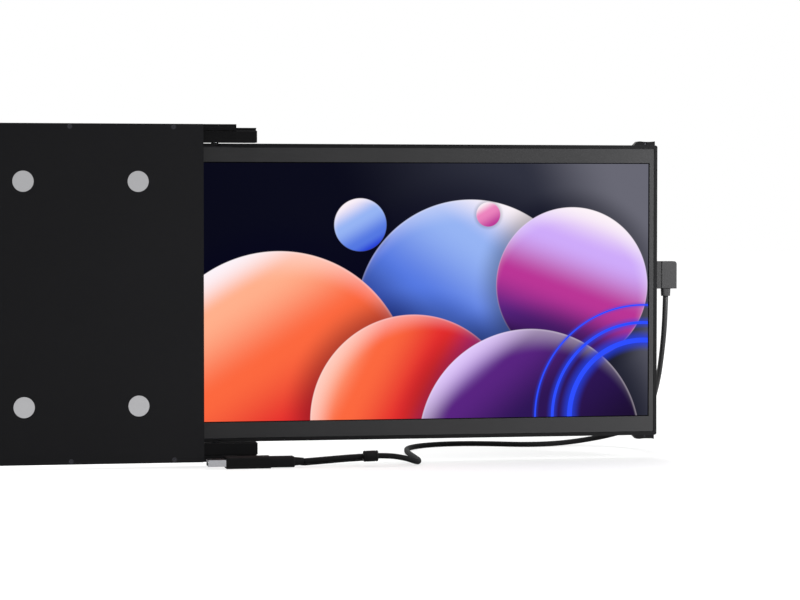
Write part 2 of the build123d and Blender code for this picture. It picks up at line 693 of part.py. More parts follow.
def bracket_screw_places():
    """Rear-face places of the two screws that hold the top hinge bracket."""
    return [facing_rear(PIVOT_X + side * BRACKET_SCREW_PITCH / 2, CASE_REAR, BRACKET_SCREW_Z)
            for side in (-1, 1)]


BRACKET_SCREW_LENGTH = CASE_FLOOR + BRACKET_THICKNESS - BRACKET_SCREW_TIP_COVER


def make_hinge_brackets():
    """Bent steel angles that carry the bushings and spread the load into the case's floor."""
    outline = rect(CASE_FRONT + BRACKET_FRONT_INSET, FLOOR_FRONT, BRACKET_LEAF, INNER_TOP)
    outline += rect(BRACKET_REAR_LEAF, FLOOR_FRONT, INNER_TOP - BRACKET_HEIGHT, INNER_TOP)
    corner = outline.vertices().sort_by_distance((BRACKET_REAR_LEAF, BRACKET_LEAF, 0))[0]
    outline = fillet(corner, BRACKET_BEND_RADIUS)
    bracket = along_x(outline, PIVOT_X - BRACKET_LENGTH / 2, PIVOT_X + BRACKET_LENGTH / 2)
    bore = Pos(PIVOT_X, PIVOT_Y) * Circle(BUSHING_BARREL / 2 + HINGE_SEAT_FIT)
    bracket -= along_z(bore, BRACKET_LEAF - BRACKET_BEND_RADIUS, INNER_TOP)
    for place in bracket_screw_places():
        bracket -= countersink(place, PLATE_SCREW_DIAMETER, PLATE_SCREW_HEAD, BRACKET_SCREW_LENGTH + CUT_PAST)
    return group(both(bracket))


def make_rear_screws():
    """Screws through the back of the case into the hinge brackets."""
    screws = [countersunk_screw(place, PLATE_SCREW_DIAMETER, PLATE_SCREW_HEAD, BRACKET_SCREW_LENGTH)
              for place in bracket_screw_places()]
    return group(solid for screw in screws for solid in both(screw))


# ---- monitor case
def board_screw_places():
    """Corners (x, z) where the driver board is screwed down."""
    return [(x, z) for x in (BOARD_LEFT + BOARD_SCREW_INSET, BOARD_RIGHT - BOARD_SCREW_INSET)
            for z in (BOARD_LOW + BOARD_SCREW_INSET, BOARD_HIGH - BOARD_SCREW_INSET)]


def key_board_boss_places():
    """Ends (x, z) of the key board, where it stands on its bosses."""
    return [(KEY_X, KEY_BOARD_LOW + KEY_BOARD_BOSS / 2), (KEY_X, KEY_BOARD_HIGH - KEY_BOARD_BOSS / 2)]


def bumper_stud_places():
    """Where the bumpers' studs go into the case's top and bottom walls."""
    middle = BUMPER_START + BUMPER_LENGTH / 2
    y = BUMPER_FRONT + BUMPER_DEPTH / 2
    return [(middle + side * BUMPER_STUD_PITCH / 2, y) for side in (-1, 1)]


def make_case_inside(case):
    """Adds the ribs, ledges and bosses of the case's inside."""
    first, last = PIVOT_X + CASE_RIB_FROM_PIVOT, VENT_LEFT - CASE_RIB_FROM_VENTS
    for i in range(CASE_RIB_COUNT):
        x = first + (last - first) * i / (CASE_RIB_COUNT - 1)
        case += along_y(rect(x, x + CASE_RIB_THICKNESS, -INNER_TOP, INNER_TOP), TRAY_REAR, FLOOR_FRONT)
    ledge = rect(PIVOT_X + CASE_LEDGE_CLEAR_OF_HINGE, INNER_RIGHT, INNER_TOP - CASE_LEDGE_WIDTH, INNER_TOP)
    ledge = along_y(ledge, GLASS_FRONT, FLOOR_FRONT)
    case += ledge
    case += flipped(ledge)
    for x, z in board_screw_places():
        case += along_y(Pos(x, z) * Circle(BOARD_BOSS_DIAMETER / 2), BOARD_REAR, FLOOR_FRONT)
    for x, z in key_board_boss_places():
        case += along_y(Pos(x, z) * Rectangle(KEY_BOARD_WIDTH, KEY_BOARD_BOSS), SWITCH_FRONT, FLOOR_FRONT)
    return case


def make_rear_cover():
    """Moulded tray that is the monitor's back, sides and rim."""
    outer = round_rect(CASE_LEFT, CASE_RIGHT, -CASE_TOP, CASE_TOP, CASE_CORNER_RADIUS)
    case = along_y(outer, CASE_FRONT, CASE_REAR)
    case = fillet(case.faces().sort_by(Axis.Y)[-1].edges(), CASE_REAR_EDGE_RADIUS)
    inner = round_rect(INNER_LEFT, INNER_RIGHT, -INNER_TOP, INNER_TOP, CASE_CORNER_RADIUS / 2)
    case -= along_y(inner, CASE_FRONT, FLOOR_FRONT)
    case = make_case_inside(case)
    for i in range(VENT_COUNT):
        vent = slot(VENT_LEFT + VENT_PITCH * i, BOARD_CENTRE_Z, VENT_WIDTH, VENT_LENGTH)
        case -= along_y(vent, FLOOR_FRONT, CASE_REAR)
    for z in KEY_PLACES:
        hole = slot(KEY_X, z, KEY_WIDTH + 2 * KEY_CLEARANCE, KEY_LENGTH + 2 * KEY_CLEARANCE)
        case -= along_y(hole, FLOOR_FRONT, CASE_REAR)
    for z in PORT_PLACES:
        grow = 2 * PORT_OPENING_CLEARANCE
        hole = port_outline(PORT_WIDTH + grow, PORT_THICKNESS + grow)
        case -= along_x(Pos(PORT_Y, z) * hole, INNER_RIGHT, CASE_RIGHT)
    for x, z in board_screw_places():
        hole = Pos(x, z) * Circle(BOARD_SCREW_DIAMETER / 2 + SCREW_FIT)
        case -= along_y(hole, BOARD_REAR, CASE_REAR - BOARD_SCREW_TIP_COVER + CUT_PAST)
    radius = (NOTCH_CHORD ** 2 / 4 + NOTCH_DEPTH ** 2) / (2 * NOTCH_DEPTH)
    notch = Pos(PIVOT_X + NOTCH_FROM_PIVOT, CASE_TOP - NOTCH_DEPTH + radius) * Circle(radius)
    cuts = [along_y(notch, CASE_FRONT, PIVOT_Y - BUSHING_FLANGE / 2)]
    barrel = Circle(BUSHING_BARREL / 2 + HINGE_SEAT_FIT)
    cuts.append(along_z(Pos(PIVOT_X, PIVOT_Y) * barrel, INNER_TOP, CASE_TOP))
    flange = Circle(BUSHING_FLANGE / 2 + HINGE_SEAT_FIT)
    cuts.append(along_z(Pos(PIVOT_X, PIVOT_Y) * flange, CASE_TOP - BUSHING_FLANGE_THICKNESS, CASE_TOP))
    for x, y in bumper_stud_places():
        stud = Circle(BUMPER_STUD_DIAMETER / 2 + SCREW_FIT)
        cuts.append(along_z(Pos(x, y) * stud, CASE_TOP - BUMPER_STUD_LENGTH - SCREW_FIT, CASE_TOP))
    for place in bracket_screw_places():
        cuts.append(countersink(place, PLATE_SCREW_DIAMETER, PLATE_SCREW_HEAD, CASE_FLOOR + CUT_PAST))
    for cut in cuts:
        case -= cut
        case -= flipped(cut)
    return case


def make_front_bezel():
    """Thin frame round the picture, a little proud of the case's rim."""
    left, right = INNER_LEFT + BEZEL_GAP, INNER_RIGHT - BEZEL_GAP
    top = INNER_TOP - BEZEL_GAP
    outline = round_rect(left, right, -top, top, CASE_CORNER_RADIUS / 2)
    outline -= rect(DISPLAY_LEFT, DISPLAY_RIGHT, DISPLAY_LOW, DISPLAY_HIGH)
    return along_y(outline, BEZEL_FRONT, BEZEL_REAR)


def make_bezel_tape():
    """Adhesive frame between the bezel and the glass."""
    left, right = GLASS_LEFT - TAPE_INSET, GLASS_RIGHT + TAPE_INSET
    top = INNER_TOP - BEZEL_GAP - TAPE_INSET
    outline = rect(left, right, -top, top)
    outline -= rect(DISPLAY_LEFT - TAPE_INSET, DISPLAY_RIGHT + TAPE_INSET, DISPLAY_LOW - TAPE_INSET,
                    DISPLAY_HIGH + TAPE_INSET)
    return along_y(outline, BEZEL_REAR, GLASS_FRONT)


# ---- display stack
def make_lcd_panel():
    """Two sheets of glass; the rear one stands out at the bottom, where the flex is bonded."""
    cover = along_y(rect(GLASS_LEFT, GLASS_RIGHT, COVER_GLASS_LOW, GLASS_HIGH), GLASS_FRONT, GLASS_MIDDLE)
    base = along_y(rect(GLASS_LEFT, GLASS_RIGHT, GLASS_LOW, GLASS_HIGH), GLASS_MIDDLE, GLASS_REAR)
    return group([cover, base])


def make_light_guide():
    """Clear sheet that spreads the light behind the glass."""
    low = COVER_GLASS_LOW - GUIDE_INSET
    outline = rect(GLASS_LEFT + GUIDE_INSET, GLASS_RIGHT - GUIDE_INSET, low, GLASS_HIGH - GUIDE_INSET)
    return along_y(outline, GLASS_REAR, GUIDE_REAR)


def make_backlight_strip():
    """Row of light-emitting diodes on a strip, under the light guide's bottom edge."""
    high = COVER_GLASS_LOW - GUIDE_INSET - LED_GAP
    left, right = GLASS_LEFT + LED_LENGTH, GLASS_RIGHT - LED_LENGTH
    strip_front = GLASS_REAR + LED_GAP + LED_THICKNESS
    strip = along_y(rect(left, right, high - LED_STRIP_WIDTH, high), strip_front, GUIDE_REAR)
    step = (right - left - 2 * LED_LENGTH) / (LED_COUNT - 1)
    for i in range(LED_COUNT):
        x = left + LED_LENGTH / 2 + step * i
        strip += along_y(rect(x, x + LED_LENGTH, high - LED_HEIGHT, high), GLASS_REAR + LED_GAP, strip_front)
    return strip


def make_panel_tray():
    """Pressed steel tray that holds the glass and the light guide together."""
    gap = TRAY_GAP + TRAY_SHEET
    outer = rect(GLASS_LEFT - gap, GLASS_RIGHT + gap, GLASS_LOW - gap, GLASS_HIGH + gap)
    inner = rect(GLASS_LEFT - TRAY_GAP, GLASS_RIGHT + TRAY_GAP, GLASS_LOW - TRAY_GAP, GLASS_HIGH + TRAY_GAP)
    front = GLASS_FRONT + TRAY_WALL_SET_BACK
    tray = along_y(outer, front, TRAY_REAR) - along_y(inner, front, GUIDE_REAR)
    half = FLEX_WIDTH / 2 + FLEX_CLEARANCE
    notch = rect(FLEX_X - half, FLEX_X + half, GLASS_LOW - gap, GLASS_LOW - TRAY_GAP)
    return tray - along_y(notch, front, GUIDE_REAR)


def make_display_flex():
    """Flat flex from the glass ledge round the tray's bottom edge to the driver board."""
    bond_y = GLASS_MIDDLE - FLEX_THICKNESS / 2
    back_y = FLEX_FRONT + FLEX_THICKNESS / 2
    low = GLASS_LOW - TRAY_GAP - TRAY_SHEET - FLEX_CLEARANCE - FLEX_THICKNESS
    corners = [(bond_y, GLASS_LOW + FLEX_BOND), (bond_y, low), (back_y, low), (back_y, FLEX_TOP)]
    path = FilletPolyline(*corners, radius=FLEX_BEND_RADIUS)
    strip = trace(path, line_width=FLEX_THICKNESS)
    return along_x(strip, FLEX_X - FLEX_WIDTH / 2, FLEX_X + FLEX_WIDTH / 2)


# ---- electronics
def port_outline(width, thickness):
    """The USB-C outline, long side upright, as a sketch of (y, z)."""
    return Rot(0, 0, 90) * SlotOverall(width, thickness)


def make_driver_board():
    """Circuit board beside the ports, cut out round their shells."""
    board = rect(BOARD_LEFT, BOARD_RIGHT, BOARD_LOW, BOARD_HIGH)
    for z in PORT_PLACES:
        half = PORT_WIDTH / 2 + PORT_OPENING_CLEARANCE
        board -= rect(PORT_MOUTH - PORT_LENGTH - PORT_OPENING_CLEARANCE, BOARD_RIGHT, z - half, z + half)
    for x, z in board_screw_places():
        board -= Pos(x, z) * Circle(BOARD_SCREW_DIAMETER / 2 + SCREW_FIT)
    return along_y(board, BOARD_FRONT, BOARD_REAR)


def make_board_components():
    """Chips, coils and the panel connector, soldered to the board's front."""
    def block(x, z, width, height, thickness):
        return along_y(Pos(x, z) * Rectangle(width, height), BOARD_FRONT - thickness, BOARD_FRONT)

    chip_x = BOARD_LEFT + CHIP_FROM_BOARD_EDGE
    parts = [block(chip_x, BOARD_CENTRE_Z - SCALER_CHIP, SCALER_CHIP, SCALER_CHIP, CHIP_THICKNESS)]
    parts.append(block(chip_x, BOARD_CENTRE_Z + SCALER_CHIP, POWER_CHIP, POWER_CHIP, CHIP_THICKNESS))
    for i in range(3):
        x = chip_x + INDUCTOR_FROM_POWER_CHIP
        z = BOARD_CENTRE_Z + SCALER_CHIP + (i - 1) * INDUCTOR_PITCH
        parts.append(block(x, z, INDUCTOR_SIDE, INDUCTOR_SIDE, INDUCTOR_THICKNESS))
    connector = Pos(FLEX_X, FLEX_TOP - CONNECTOR_HEIGHT / 2) * Rectangle(FLEX_WIDTH, CONNECTOR_HEIGHT)
    parts.append(along_y(connector, FLEX_REAR, BOARD_FRONT))
    return group(parts)


def make_board_screws():
    """Pan-head screws that hold the driver board to the case's bosses."""
    head = BOARD_SCREW_HEAD / 2
    shank = BOARD_SCREW_DIAMETER / 2
    length = BOARD_THICKNESS + BOARD_BOSS_HEIGHT + CASE_FLOOR - BOARD_SCREW_TIP_COVER
    outline = [
        (0, BOARD_SCREW_HEAD_THICKNESS),
        (head * 0.7, BOARD_SCREW_HEAD_THICKNESS),
        (head, BOARD_SCREW_HEAD_THICKNESS / 2),
        (head, 0),
        (shank, 0),
        (shank, -length),
        (0, -length),
    ]
    return group(turned(outline, facing_front(x, BOARD_FRONT, z)) for x, z in board_screw_places())


def make_usb_c_ports():
    """Two receptacles: a drawn shell, closed at the back, with a tongue."""
    shells = []
    for z in PORT_PLACES:
        back = PORT_MOUTH - PORT_LENGTH
        outer = Pos(PORT_Y, z) * port_outline(PORT_WIDTH, PORT_THICKNESS)
        inner = Pos(PORT_Y, z) * port_outline(PORT_WIDTH - 2 * PORT_WALL, PORT_THICKNESS - 2 * PORT_WALL)
        tongue = Pos(PORT_Y, z) * Rectangle(PORT_TONGUE_THICKNESS, PORT_TONGUE_WIDTH)
        shell = along_x(outer, back, PORT_MOUTH) - along_x(inner, back + PORT_WALL, PORT_MOUTH)
        shells.append(shell + along_x(tongue, back, back + PORT_TONGUE_LENGTH))
    return group(shells)


def make_key(z):
    """A key cap with the flange that keeps it in the case."""
    cap = slot(KEY_X, z, KEY_WIDTH, KEY_LENGTH)
    flange = slot(KEY_X, z, KEY_WIDTH + 2 * KEY_FLANGE, KEY_LENGTH + 2 * KEY_FLANGE)
    key = along_y(cap, KEY_FLANGE_REAR, CASE_REAR + KEY_PROUD)
    key = fillet(key.faces().sort_by(Axis.Y)[-1].edges(), KEY_PROUD / 2)
    return key + along_y(flange, KEY_FLANGE_FRONT, KEY_FLANGE_REAR)


def make_key_board():
    """Small circuit board that stands on two bosses behind the keys."""
    outline = rect(KEY_X - KEY_BOARD_WIDTH / 2, KEY_X + KEY_BOARD_WIDTH / 2, KEY_BOARD_LOW, KEY_BOARD_HIGH)
    return along_y(outline, SWITCH_FRONT - BOARD_THICKNESS, SWITCH_FRONT)


def make_tact_switches():
    """One switch under each key."""
    parts = []
    for z in KEY_PLACES:
        body = Pos(KEY_X, z) * Rectangle(SWITCH_SIDE, SWITCH_SIDE)
        stem = Pos(KEY_X, z) * Circle(SWITCH_SIDE / 4)
        stem_foot = SWITCH_REAR - SWITCH_STEM
        parts.append(along_y(body, SWITCH_FRONT, stem_foot) + along_y(stem, stem_foot, SWITCH_REAR))
    return group(parts)


# ---- corner bumpers
def make_corner_bumpers():
    """Rubber humps at the free corners, on studs in the case's walls."""
    left, right = BUMPER_START, BUMPER_START + BUMPER_LENGTH
    high = CASE_TOP + BUMPER_HEIGHT
    ramp_top = (left + BUMPER_RAMP, high - BUMPER_RAMP_DROP)
    crest_left = left + BUMPER_RAMP + BUMPER_CREST
    saddle = ((crest_left + right) / 2, high - BUMPER_SADDLE)
    line = Polyline((right, high), (right, CASE_TOP), (left, CASE_TOP), ramp_top, (crest_left, high))
    crest = ThreePointArc((crest_left, high), saddle, (right, high))
    front, rear = BUMPER_FRONT, BUMPER_FRONT + BUMPER_DEPTH
    bumper = along_y(make_face([line, crest]), front, rear)
    bumper -= along_y(bumper_pin_circle(), front, rear)
    for x, y in bumper_stud_places():
        stud = Pos(x, y) * Circle(BUMPER_STUD_DIAMETER / 2)
        bumper += along_z(stud, CASE_TOP - BUMPER_STUD_LENGTH, CASE_TOP)
    return group(both(bumper))


def bumper_pin_circle():
    """Section of the cross pin and of its hole."""
    place = Pos(BUMPER_START + BUMPER_PIN_FROM_LEFT, CASE_TOP + BUMPER_PIN_FROM_CASE)
    return place * Circle(BUMPER_PIN_DIAMETER / 2)


def make_bumper_pins():
    """Steel cross pins that stiffen the bumpers."""
    front, rear = BUMPER_FRONT + BUMPER_PIN_RECESS, BUMPER_FRONT + BUMPER_DEPTH
    return group(both(along_y(bumper_pin_circle(), front, rear)))


# ---- monitor end of the cord
def plug_shell_along_x(centre_y, centre_z, outline, x_root, direction):
    """Drawn steel shell of a USB-C plug, open at its tip."""
    outer, inner = outline
    tip = x_root + direction * PLUG_SHELL_LENGTH
    bore_end = tip - direction * PLUG_SHELL_BORE
    shell = along_x(Pos(centre_y, centre_z) * outer, min(x_root, tip), max(x_root, tip))
    return shell - along_x(Pos(centre_y, centre_z) * inner, min(bore_end, tip), max(bore_end, tip))


def upright_shell_outline():
    """Outer and inner outlines of a USB-C plug shell, long side upright."""
    outer = port_outline(PLUG_SHELL_WIDTH, PLUG_SHELL_THICKNESS)
    inner = port_outline(PLUG_SHELL_WIDTH - 2 * PLUG_SHELL_WALL, PLUG_SHELL_THICKNESS - 2 * PLUG_SHELL_WALL)
    return outer, inner


def make_usb_c_shell():
    """Metal shell of the plug in the monitor's port."""
    return plug_shell_along_x(PORT_Y, PORT_Z, upright_shell_outline(), PLUG_LEFT, -1)


def make_usb_c_plug():
    """Angled plug body whose cable leaves downwards."""
    outline = rect(PLUG_LEFT, PLUG_RIGHT, PLUG_LOW, PLUG_HIGH)
    corner = outline.vertices().sort_by_distance((PLUG_RIGHT, PLUG_HIGH, 0))[0]
    outline = fillet(corner, PLUG_CORNER_RADIUS)
    front, rear = PORT_Y - PLUG_THICKNESS / 2, PORT_Y + PLUG_THICKNESS / 2
    plug = along_y(outline, front, rear)
    rim = plug.faces().sort_by(Axis.Y)[0].edges() + plug.faces().sort_by(Axis.Y)[-1].edges()
    plug = fillet(rim, PLUG_EDGE_RADIUS)
    step = rect(PLUG_LEFT, PLUG_LEFT + PLUG_STEP_WIDTH, PLUG_LOW, PLUG_HIGH)
    plug -= along_y(step, front, front + PLUG_STEP_DEPTH)
    return plug - along_y(step, rear - PLUG_STEP_DEPTH, rear)


def make_plug_relief():
    """Tapered strain relief under the angled plug."""
    end_width, end_thickness = RELIEF_WIDTH - RELIEF_TAPER, RELIEF_THICKNESS - RELIEF_TAPER
    root = RectangleRounded(RELIEF_WIDTH, RELIEF_THICKNESS, RELIEF_CORNER_RADIUS)
    end = RectangleRounded(end_width, end_thickness, RELIEF_CORNER_RADIUS)
    place = Pos(RELIEF_X, PORT_Y)
    return loft([Plane.XY.offset(PLUG_LOW) * place * root, Plane.XY.offset(RELIEF_LOW) * place * end])


# ---- cord and its laptop end
def route_points():
    """The cord's route in the part's frame."""
    return [Vector(PIVOT_X + x, y, DESK + height) for x, y, height in CABLE_ROUTE]


def route_radii(points):
    """For each corner, the largest arc that its two runs allow."""
    radii = []
    for before, corner, after in zip(points, points[1:], points[2:]):
        run_in, run_out = corner - before, after - corner
        turn = math.radians(run_in.get_angle(run_out))
        radii.append(0.45 * min(run_in.length, run_out.length) / math.tan(turn / 2))
    return radii


def make_cable():
    """Round cord from the plug's strain relief to the laptop end's strain relief."""
    points = route_points()
    radii = route_radii(points)
    path = FilletPolyline(*points, radius=radii)
    section = Plane(origin=points[0], z_dir=points[1] - points[0]) * Circle(CABLE_DIAMETER / 2)
    tube = sweep(section, path=path)
    wanted = math.pi * CABLE_DIAMETER ** 2 / 4 * path.length
    print("cord radii", [round(r, 1) for r in radii])
    print("cord length", round(path.length, 1), "volume ratio", round(tube.volume / wanted, 5))
    return tube


def make_cable_collar():
    """Ring on the cord that holds the tether strap."""
    start, end = route_points()[COLLAR_RUN], route_points()[COLLAR_RUN + 1]
    middle = (start + end) / 2
    plane = Plane(origin=middle - (end - start).normalized() * COLLAR_LENGTH / 2, z_dir=end - start)
    ring = Circle(COLLAR_DIAMETER / 2) - Circle(CABLE_DIAMETER / 2 + COLLAR_BORE_CLEARANCE)
    collar = extrude(plane * ring, amount=COLLAR_LENGTH)
    outer = collar.edges().filter_by(GeomType.CIRCLE).sort_by(lambda edge: edge.radius)[-2:]
    return fillet(outer, COLLAR_DIAMETER / 12)


def make_tether_strap():
    """Flat strap from the collar, under the cord and past the plug, to the adapter."""
    drop = CABLE_DIAMETER / 2 + STRAP_BELOW_CABLE + STRAP_THICKNESS / 2
    collar_end = (route_points()[COLLAR_RUN] + route_points()[COLLAR_RUN + 1]) / 2
    collar_end -= Vector(COLLAR_LENGTH / 2 + STRAP_END_GAP, 0, 0)
    bend = route_points()[COLLAR_RUN + 2]
    jog_left = PIVOT_X + HOST_RELIEF_RIGHT + STRAP_JOG_FROM_RELIEF
    jog_right = jog_left + STRAP_WIDTH
    end_z = HOST_Z - drop - STRAP_JOG_DROP
    sloped = [(bend.X, bend.Z - drop), (collar_end.X, collar_end.Z - drop)]
    corners = [(jog_left, end_z), (jog_right, end_z)] + sloped
    front, rear = CORD_LINE_Y - STRAP_WIDTH / 2, CORD_LINE_Y + STRAP_WIDTH / 2
    band = along_y(trace(Polyline(*corners), line_width=STRAP_THICKNESS), front, rear)
    side = CORD_LINE_Y + HOST_PLUG_WIDTH / 2
    low, high = end_z - STRAP_THICKNESS / 2, end_z + STRAP_THICKNESS / 2
    jog = along_z(rect(jog_left, jog_right, front, side + STRAP_THICKNESS), low, high)
    tail = rect(PIVOT_X + ADAPTER_RIGHT, jog_right, low, low + STRAP_WIDTH)
    tail = along_y(tail, side, side + STRAP_THICKNESS)
    return band + jog + tail


def flat_shell_outline(width, height, wall):
    """Outer and inner outlines of a USB-C shell that lies flat."""
    return SlotOverall(width, height), SlotOverall(width - 2 * wall, height - 2 * wall)


def make_host_plug():
    """Straight USB-C plug body at the laptop end."""
    outline = RectangleRounded(HOST_PLUG_WIDTH, HOST_PLUG_HEIGHT, HOST_PLUG_HEIGHT / 3)
    plug = along_x(Pos(CORD_LINE_Y, HOST_Z) * outline, PIVOT_X + ADAPTER_RIGHT, PIVOT_X + HOST_PLUG_RIGHT)
    return fillet(plug.faces().sort_by(Axis.X)[-1].edges(), HOST_PLUG_HEIGHT / 8)


def make_host_plug_shell():
    """Metal shell of the laptop-end plug, in the adapter's socket."""
    outline = flat_shell_outline(PLUG_SHELL_WIDTH, PLUG_SHELL_THICKNESS, PLUG_SHELL_WALL)
    return plug_shell_along_x(CORD_LINE_Y, HOST_Z, outline, PIVOT_X + ADAPTER_RIGHT, -1)


def make_host_plug_relief():
    """Tapered strain relief of the laptop-end plug."""
    root = Circle(HOST_RELIEF_DIAMETER / 2)
    end = Circle(HOST_RELIEF_END / 2)
    start_plane = Plane(origin=(PIVOT_X + HOST_PLUG_RIGHT, CORD_LINE_Y, HOST_Z), z_dir=(1, 0, 0))
    return loft([start_plane * root, start_plane.offset(HOST_RELIEF_LENGTH) * end])


def make_usb_a_adapter():
    """Adapter body with a USB-C socket at its right end."""
    outline = Pos(CORD_LINE_Y, HOST_Z) * RectangleRounded(ADAPTER_WIDTH, ADAPTER_HEIGHT, ADAPTER_EDGE_RADIUS)
    left, right = PIVOT_X + ADAPTER_LEFT, PIVOT_X + ADAPTER_RIGHT
    body = along_x(outline, left, right)
    body = fillet(body.faces().sort_by(Axis.X)[0].edges(), ADAPTER_EDGE_RADIUS / 2)
    socket = SlotOverall(PORT_WIDTH - 2 * PORT_WALL, PORT_THICKNESS - 2 * PORT_WALL)
    socket = Pos(CORD_LINE_Y, HOST_Z) * socket
    tongue = Pos(CORD_LINE_Y, HOST_Z) * Rectangle(PORT_TONGUE_WIDTH, PORT_TONGUE_THICKNESS)
    body -= along_x(socket, right - PORT_LENGTH, right)
    return body + along_x(tongue, right - PORT_LENGTH, right - PORT_LENGTH + PORT_TONGUE_LENGTH)


def make_adapter_shell():
    """USB-A shell with its contact tongue."""
    left, right = PIVOT_X + ADAPTER_LEFT - USB_A_LENGTH, PIVOT_X + ADAPTER_LEFT
    inner_width, inner_height = USB_A_WIDTH - 2 * USB_A_WALL, USB_A_HEIGHT - 2 * USB_A_WALL
    place = Pos(CORD_LINE_Y, HOST_Z)
    shell = along_x(place * Rectangle(USB_A_WIDTH, USB_A_HEIGHT), left, right)
    shell -= along_x(place * Rectangle(inner_width, inner_height), left, right - USB_A_WALL)
    tongue_z = HOST_Z + (inner_height - USB_A_TONGUE) / 2
    tongue = Pos(CORD_LINE_Y, tongue_z) * Rectangle(inner_width, USB_A_TONGUE)
    return shell + along_x(tongue, left + USB_A_WALL, right)


TOP_RAIL = make_top_rail()
TOP_SLIDER = make_top_slider()

NODES = {
    "front_plate": make_front_plate(),
    "lid_magnets": make_lid_magnets(),
    "felt_pads": make_felt_pads(),
    "top_rail": TOP_RAIL,
    "bottom_rail": flipped(TOP_RAIL),
    "end_cap": make_end_cap(),
    "plate_screws": make_plate_screws(),
    "cap_screws": make_cap_screws(),
    "stop_pins": make_stop_pins(),
    "top_slider": TOP_SLIDER,
    "bottom_slider": flipped(TOP_SLIDER),
    "hinge_pins": make_hinge_pins(),
    "friction_washers": make_friction_washers(),
    "hinge_bushings": make_hinge_bushings(),
    "hinge_brackets": make_hinge_brackets(),
    "rear_screws": make_rear_screws(),
    "rear_cover": make_rear_cover(),
    "front_bezel": make_front_bezel(),
    "bezel_tape": make_bezel_tape(),
    "lcd_panel": make_lcd_panel(),
    "light_guide": make_light_guide(),
    "backlight_strip": make_backlight_strip(),
    "panel_tray": make_panel_tray(),
    "display_flex": make_display_flex(),
    "driver_board": make_driver_board(),
    "board_components": make_board_components(),
    "board_screws": make_board_screws(),
    "usb_c_ports": make_usb_c_ports(),
    "power_key": make_key(KEY_PLACES[0]),
    "brightness_down_key": make_key(KEY_PLACES[1]),
    "brightness_up_key": make_key(KEY_PLACES[2]),
    "key_board": make_key_board(),
    "tact_switches": make_tact_switches(),
    "corner_bumpers": make_corner_bumpers(),
    "bumper_pins": make_bumper_pins(),
    "usb_c_plug": make_usb_c_plug(),
    "usb_c_shell": make_usb_c_shell(),
    "plug_relief": make_plug_relief(),
    "cable": make_cable(),
    "cable_collar": make_cable_collar(),
    "tether_strap": make_tether_strap(),
    "host_plug": make_host_plug(),
    "host_plug_shell": make_host_plug_shell(),
    "host_plug_relief": make_host_plug_relief(),
    "usb_a_adapter": make_usb_a_adapter(),
    "adapter_shell": make_adapter_shell(),
}

for name, shape in NODES.items():
    export_step(shape, f"parts/{name}.step")
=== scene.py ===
"""Looks of the laptop screen extender: camera, lights, materials, the lit display and the cord."""

import json
import math

import bmesh
import bpy
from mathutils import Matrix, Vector


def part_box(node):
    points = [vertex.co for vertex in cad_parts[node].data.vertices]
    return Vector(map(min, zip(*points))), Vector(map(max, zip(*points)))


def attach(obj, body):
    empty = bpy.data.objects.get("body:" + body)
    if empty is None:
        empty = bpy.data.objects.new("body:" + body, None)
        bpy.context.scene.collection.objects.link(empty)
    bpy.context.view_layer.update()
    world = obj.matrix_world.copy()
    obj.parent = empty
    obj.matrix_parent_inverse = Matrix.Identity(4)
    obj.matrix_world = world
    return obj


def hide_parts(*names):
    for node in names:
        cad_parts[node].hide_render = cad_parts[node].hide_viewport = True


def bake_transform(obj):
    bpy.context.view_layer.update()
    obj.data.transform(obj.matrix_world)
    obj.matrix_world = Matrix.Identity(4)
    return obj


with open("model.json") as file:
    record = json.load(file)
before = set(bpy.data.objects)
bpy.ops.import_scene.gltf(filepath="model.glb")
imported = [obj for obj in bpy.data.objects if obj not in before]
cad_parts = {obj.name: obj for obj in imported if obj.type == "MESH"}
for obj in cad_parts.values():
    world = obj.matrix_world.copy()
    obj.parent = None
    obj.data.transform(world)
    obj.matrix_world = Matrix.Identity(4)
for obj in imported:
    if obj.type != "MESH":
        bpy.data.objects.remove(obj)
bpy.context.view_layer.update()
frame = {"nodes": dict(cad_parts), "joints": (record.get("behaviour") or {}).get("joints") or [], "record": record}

# Blender's lengths are metres. The object's sizes below are millimetres, and MM turns them into metres.
MM = 0.001
RIGHT, BACK, UP = Vector((1.0, 0.0, 0.0)), Vector((0.0, 1.0, 0.0)), Vector((0.0, 0.0, 1.0))
SHARP_ANGLE = math.radians(35)
NODES = frame["nodes"]
JOINTS = {joint["name"]: joint for joint in frame["joints"]}
PIVOT = Vector(JOINTS["monitor_swivel"]["pos_m"])
SLOTS = {part["node"]: part["material_slot"] for part in frame["record"]["subparts"]}

# ---- camera: a long lens, left of the monitor and turned towards it. Its place is in millimetres, its sight in metres.
CAMERA_FROM_PIVOT = Vector((-200.25, -1749.5, 58.0)) * MM
CAMERA_YAW = math.radians(10.6)
CAMERA_PITCH = math.radians(-2.05)
CAMERA_LENS = 117.0
CAMERA_SENSOR = 36.0
CAMERA_SEES_FROM = 0.1
CAMERA_SEES_TO = 50.0

# ---- light levels, where 1 is white, and the floor's side in metres
WORLD_LEVEL = 0.16
FLOOR_LIGHTNESS = 0.35
FLOOR_SIZE = 16.0

# ---- the floor's own glow: its level near the object, its middle's x, and the distances between which it grows to
# white, in metres
FLOOR_GLOW = 0.52
GLOW_CENTRE_X = 0.5
GLOW_NEAR = 0.05
GLOW_FAR = 0.55

# ---- lamps: name, place, x of the aim from the pivot and size, all in metres, and power in watts
LAMPS = [
    ("key_lamp", (0.74, -0.32, 0.08), 0.25, 0.15, 3.0),
    ("top_lamp", (0.45, 0.12, 1.5), 0.15, 0.8, 18.0),
    ("back_lamp", (0.2, 1.2, 1.1), 0.15, 1.2, 16.0),
    ("left_lamp", (-1.2, -0.9, 0.8), 0.15, 1.2, 1.0),
]

